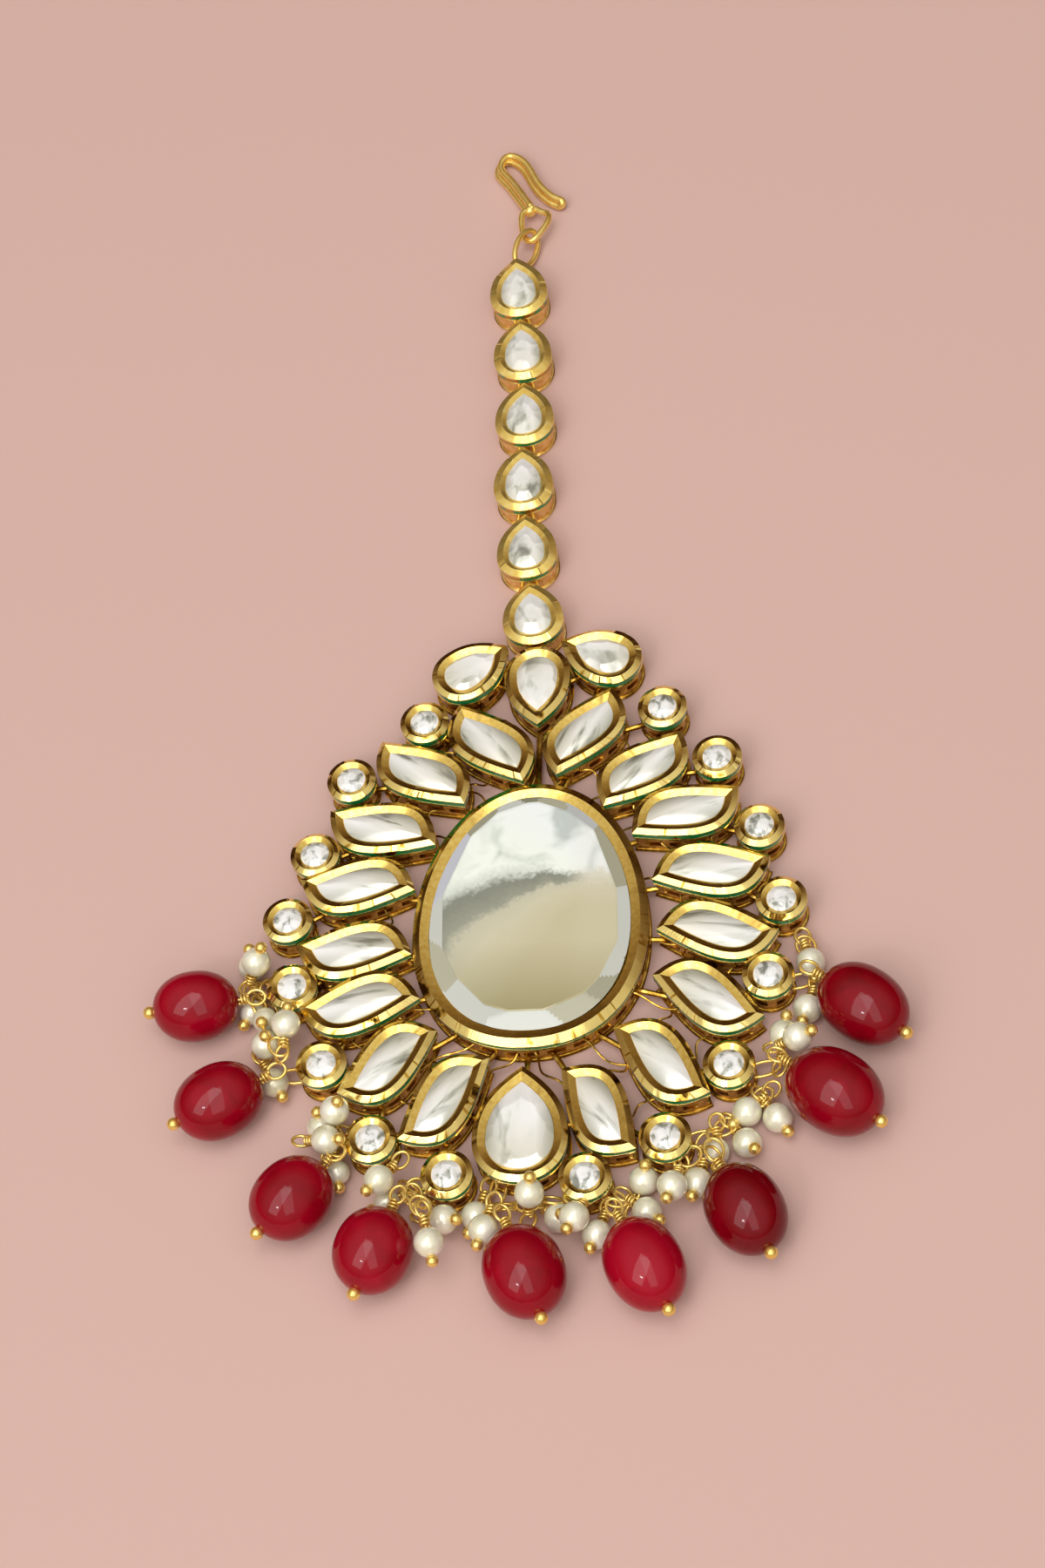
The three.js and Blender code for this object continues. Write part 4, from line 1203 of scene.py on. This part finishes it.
def bead(x, y, long, wide, heading, tint, rows=36, count=56):
    """Rings along the bore axis, out over the barrel and back through the bore. Where a lump would
    reach below the floor, it is flattened."""
    t = np.cos(np.linspace(math.pi, 0, rows))
    barrel = wide / 2 * np.maximum(1 - np.abs(t) ** 2.15, 0) ** 0.49
    radius = np.concatenate([np.maximum(barrel, BORE / 2 + MOUTH), [BORE / 2, BORE / 2]])
    place = np.concatenate([t * long / 2, [long / 2 - SUNK, -long / 2 + SUNK]])
    a = np.linspace(0, 2 * math.pi, count, endpoint=False)
    lumps = LUMPS[0] * np.sin(2 * a + rng.uniform(0, 6)) + LUMPS[1] * np.sin(3 * a + rng.uniform(0, 6))
    swell = 1 + np.where(radius > BORE, 1.0, 0.0)[:, None] * lumps
    across = radius[:, None] * np.cos(a) * swell
    high = radius[:, None] * np.sin(a) * swell
    h = math.radians(heading)
    points = np.stack([
        x + place[:, None] * math.cos(h) - across * math.sin(h),
        y + place[:, None] * math.sin(h) + across * math.cos(h),
        np.maximum(wide / 2 + high, 0.0),
    ], -1)
    faces = grid_faces(len(radius), count, wrap_rows=True)
    return patch(points.reshape(-1, 3), faces, 0, np.full((len(faces), 4, 2), tint))


beads = put_mesh("ruby_beads", [bead(*row) for row in BEADS], [RUBY], sharp=60)
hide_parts(*[f"ruby_bead_{k + 1}" for k in range(9)])

# %% [markdown]
# ## Pearl bunches
# Every pearl and every bead sits on a head pin: a ball, a shank through the hole, two or three wraps
# round the shank, and a small loop on the bunch's jump ring. The jump ring hooks through a setting.
# One function makes a pin, and a table says where each pearl is and where its pin points.

# %% Places of the fringe
# one jump ring per bunch: middle x, y, then the point of the setting's wall that it hooks into
BUNCH_RINGS = [
    (-38.4, -7.0, -35.4, -8.0),
    (-33.2, -20.8, -30.4, -20.8),
    (-25.0, -29.2, -22.7, -30.7),
    (-14.6, -37.6, -12.2, -37.6),
    (-3.6, -40.2, -3.0, -37.0),
    (12.9, -40.6, 10.9, -39.6),
    (24.4, -31.6, 21.6, -32.4),
    (33.0, -21.6, 30.2, -22.3),
    (37.8, -8.6, 35.2, -9.2),
]
# pearls: bunch, x, y, z, diameter, then the turn and rise of the pin's ball end in degrees
PEARLS = [
    (1, -37.5, -5.5, 6.0, 4.0, 46, 55),
    (1, -39.0, -4.0, 2.0, 4.0, 97, 45),
    (1, -38.5, -11.0, 1.75, 3.5, -115, 5),
    (1, -36.0, -13.5, 4.0, 3.5, -90, 55),
    (1, -32.5, -15.5, 6.5, 4.0, 88, 0),
    (2, -35.5, -17.5, 4.5, 4.0, 0, 80),
    (2, -34.5, -22.0, 2.0, 4.0, -60, 0),
    (3, -25.0, -28.5, 6.0, 4.0, 10, 70),
    (3, -27.5, -29.0, 2.0, 4.0, 102, 60),
    (3, -26.0, -32.5, 5.5, 4.0, -15, 30),
    (3, -25.0, -35.5, 1.75, 3.5, -80, 0),
    (4, -18.5, -38.5, 5.5, 4.0, -125, 20),
    (4, -18.0, -40.0, 1.75, 3.5, -150, 0),
    (4, -11.0, -48.5, 7.5, 4.0, -78, -10),
    (4, -10.0, -43.5, 3.5, 4.0, -20, 35),
    (5, -6.0, -42.5, 2.0, 4.0, -110, 0),
    (5, -4.5, -45.5, 4.5, 4.0, -105, 10),
    (5, 1.5, -41.0, 5.5, 4.0, 74, 60),
    (5, 5.0, -43.0, 2.0, 4.0, -43, 70),
    (5, 7.5, -44.5, 5.5, 4.0, -110, 25),
    (6, 10.0, -45.5, 2.0, 4.0, -107, 20),
    (6, 16.5, -42.5, 2.0, 4.0, -42, 20),
    (6, 16.0, -38.0, 2.0, 4.0, 70, 60),
    (7, 20.0, -40.0, 4.5, 4.0, -104, 25),
    (7, 23.0, -38.5, 2.0, 4.0, -104, 20),
    (7, 25.5, -34.0, 1.75, 3.5, -90, 0),
    (7, 29.5, -33.0, 2.0, 4.0, -55, 38),
    (7, 29.5, -28.5, 2.0, 4.0, -136, 0),
    (8, 33.5, -29.5, 2.0, 4.0, -57, 5),
    (8, 34.5, -18.0, 3.5, 4.0, 80, 20),
    (8, 36.5, -20.0, 6.5, 4.0, 0, 40),
    (9, 38.0, -6.5, 2.0, 4.0, -76, 5),
    (9, 37.5, -13.5, 2.0, 4.0, -105, 20),
]
PIN = 0.46                # wire of head pins and jump rings
WRAP = 0.84 * PIN         # the same wire where it is pulled round the shank
WALL_RING = 0.5           # wire of the ring that hooks through a setting
HANG = 0.9                # how far outside that ring's middle the bunch hangs
SKEW = (0.31, 0.22, 0.92)                # along no pin, so its cross product with one never vanishes
HEAD, BEAD_HEAD = 1.7, 1.8               # ball at the end of a pearl's pin and of a bead's
SHANK_PAST, LOOP_PAST = 1.6, 2.5         # shank's end and loop's middle, from the pearl's skin
RING_LIFT = 1.3           # height of the middle of a ring that lies by itself
RING_STEP = 2.9           # from one jump ring to the next along a row of them
NEAR = 5.5                # a loop nearer than this to the setting's ring needs no rings between
print("fringe:", len(BEADS), "beads and", len(PEARLS), "pearls")

# %% Pins, wraps and rings
def coil(start, ahead, turns=2.8, radius=0.62, pitch=0.48, gap=0.15):
    """Wraps round a shank: a circle across the direction ahead that also moves along it."""
    ahead = unit(ahead)
    across = unit(np.cross(ahead, SKEW))
    third = np.cross(ahead, across)
    a = np.linspace(0, 2 * math.pi * turns, int(14 * turns))[:, None]
    around = radius * (np.cos(a) * across + np.sin(a) * third)
    return tube(start + around + ahead * (gap + pitch * a / (2 * math.pi)), WRAP / 2, 6)


def jump_rings(start, end):
    """A row of rings from start to end, each one turned against its neighbours so that they link."""
    gap = end - start
    count = round(np.linalg.norm(gap) / RING_STEP)
    places = start + gap * (np.arange(count)[:, None] + 0.5) / max(count, 1)
    places[:, 2] = np.maximum(places[:, 2], RING_LIFT)
    headings = [turn_of(gap) + rng.uniform(-20, 20) for _ in places]
    return [
        oval(at, long=3.7, wide=2.9, heading=heading, wire=PIN, tilt=(8, 48)[k % 2])
        for k, (at, heading) in enumerate(zip(places, headings))
    ]


def head_pin(thing_at, half, out, away, head, ring_at):
    """A ball, a straight shank through the bead or pearl, wraps, a loop, and rings to the setting."""
    exit_point = thing_at + away * half
    outer = thing_at + out * (half + 0.3 * head)
    loop_at = exit_point + away * LOOP_PAST
    loop_at[2] = max(loop_at[2], RING_LIFT)
    loop = oval(loop_at, long=3.0, wide=2.5, heading=turn_of(away), wire=PIN, tilt=rng.uniform(0, 40))
    shank = tube([outer, thing_at, exit_point, exit_point + away * SHANK_PAST], PIN / 2, 7)
    rings = jump_rings(loop_at, ring_at) if np.linalg.norm(ring_at - loop_at) > NEAR else []
    return [ball(outer, head), shank, coil(exit_point, away), loop] + rings


def bunch_wires(k):
    """The ring in the setting's wall, then the pin of the bead and those of the pearls of bunch k."""
    x, y, hook_x, hook_y = BUNCH_RINGS[k]
    outward = unit([x - hook_x, y - hook_y, 0])
    ring_at = np.array([x, y, RING_LIFT]) + outward * HANG
    half_way = ((x + hook_x) / 2, (y + hook_y) / 2, RING_LIFT)
    reach = math.hypot(x - hook_x, y - hook_y)
    patches = [oval(half_way, long=reach + 2.2, wide=2.6, heading=turn_of(-outward), wire=WALL_RING)]
    bx, by, long, wide, turn, _ = BEADS[k]
    ahead = pointing(turn)
    patches += head_pin(np.array([bx, by, wide / 2]), long / 2, ahead, -ahead, BEAD_HEAD, ring_at)
    for number, px, py, pz, size, turn, rise in PEARLS:
        if number == k + 1:
            out = pointing(turn, rise)
            away = unit([-out[0], -out[1], max(-out[2], (RING_LIFT - pz) / size)])
            patches += head_pin(np.array([px, py, pz]), size / 2, out, away, HEAD, ring_at)
    for p in patches:
        p["points"][:, 2] = np.maximum(p["points"][:, 2], 0.0)
    return patches


def pearls_of(k):
    """The pearls of bunch k, which take the second finish of their piece."""
    pearls = [
        ball((x, y, z), size, rows=18, count=26)
        for number, x, y, z, size, _, _ in PEARLS if number == k + 1
    ]
    for p in pearls:
        p["finish"] = p["finish"] + 1
    return pearls


for k in range(len(BEADS)):
    piece = put_mesh(f"pearls_and_pins_{k + 1}", bunch_wires(k) + pearls_of(k), [WIRE, PEARL])
    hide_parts(f"pearl_bunch_{k + 1}")

# %% [markdown]
# ## Floor, light and camera
# The jewel lies on a plain pale floor. Gold only looks like gold when it has something bright and
# something dark to mirror. Two window panes hang high up in front, a small lamp between them gives
# each bead and pearl its sharp spot, and the room is bright overhead and dark and brown behind, so
# the slopes that face the front are bright and those that face away are brown.

# %% Floor
REACH = 1.6               # m from the middle to each edge


def plain_floor():
    """Matt and even, so that it takes soft shadows and shows nothing of its own."""
    finish, _, shader = start_finish("plain_pale_floor")
    feed(shader, {"Base Color": colour("#D1AEA5"), "Roughness": 0.75})
    return finish


floor_mesh = bpy.data.meshes.new("floor")
floor_mesh.from_pydata(
    [(-REACH, -REACH, 0), (REACH, -REACH, 0), (REACH, REACH, 0), (-REACH, REACH, 0)], [], [(0, 1, 2, 3)])
floor_mesh.materials.append(plain_floor())
floor = bpy.data.objects.new("floor", floor_mesh)
bpy.context.scene.collection.objects.link(floor)

# %% Light
AIM = Vector((FLOWER * MM).tolist())
LIGHT_AWAY = 1.4                         # m from the flower
BRIGHT_PART = (0.0, -0.34, 0.94)         # direction of the middle of the room's bright part


def soft_light(name, azimuth, elevation, wide, high, glow):
    """A panel at an azimuth from -Y towards +X, which is a turn of 90 degrees less from +X. Its power,
    glow * pi * area, gives the stated glow on its face."""
    away = Vector(pointing(azimuth - 90, elevation))
    light = bpy.data.lights.new(name, "AREA")
    light.shape, light.size, light.size_y = "RECTANGLE", wide, high
    light.energy = glow * math.pi * wide * high
    print(f"{name}: {light.energy:.2f} W")
    lamp = bpy.data.objects.new(name, light)
    lamp.location = AIM + away * LIGHT_AWAY
    lamp.rotation_euler = away.to_track_quat("Z", "Y").to_euler()
    bpy.context.scene.collection.objects.link(lamp)


def studio():
    """A room that is bright overhead and in front, and dark behind and beside: the glow follows the dot
    product of a direction with the one towards the middle of the bright part."""
    world = bpy.data.worlds.new("studio")
    world.use_nodes = True
    tree = world.node_tree
    look = add_node(tree, "ShaderNodeTexCoord")
    towards = add_node(tree, "ShaderNodeVectorMath", {
        0: look.outputs["Generated"], 1: BRIGHT_PART}, operation="DOT_PRODUCT")
    glow = add_node(tree, "ShaderNodeMapRange", {
        "Value": towards.outputs["Value"], "From Min": 0.0, "From Max": 0.9})
    tone = add_node(tree, "ShaderNodeValToRGB", {"Fac": glow})
    set_stops(tone, [(0.0, "#3C2614"), (0.36, "#8A745C"), (0.70, "#CEC7BE"), (1.0, "#E8E6E2")])
    feed(tree.nodes["Background"], {"Color": tone})
    return world


soft_light("left_pane", azimuth=-34, elevation=62, wide=0.75, high=1.95, glow=2.0)
soft_light("right_pane", azimuth=18, elevation=62, wide=0.62, high=1.95, glow=1.2)
soft_light("small_lamp", azimuth=-24, elevation=48, wide=0.14, high=0.10, glow=24.0)
bpy.context.scene.world = studio()
bpy.context.scene.view_settings.view_transform = "Standard"

# %% Camera
# A long lens from the bead end, high up, turned a little about its own axis.
CAMERA_AT = np.array([64.2, -224.5, 396.4])
CAMERA_AZIMUTH, CAMERA_ELEVATION, CAMERA_ROLL = 15.0, 56.9, -15.2
back = Vector(pointing(CAMERA_AZIMUTH - 90, CAMERA_ELEVATION))
level = Vector(pointing(CAMERA_AZIMUTH))
roll = math.radians(CAMERA_ROLL)
side = level * math.cos(roll) + back.cross(level) * math.sin(roll)
upright = back.cross(side)
lens = bpy.data.cameras.new("camera")
lens.sensor_fit, lens.sensor_height, lens.lens = "VERTICAL", 36.0, 76.7
lens.clip_start = 0.01
camera = bpy.data.objects.new("camera", lens)
print("camera, mm from the flower:", CAMERA_AT)
camera.matrix_world = Matrix.Translation(((CAMERA_AT + FLOWER) * MM).tolist()) @ Matrix(
    (side, upright, back)).transposed().to_4x4()
bpy.context.scene.collection.objects.link(camera)
bpy.context.scene.camera = camera
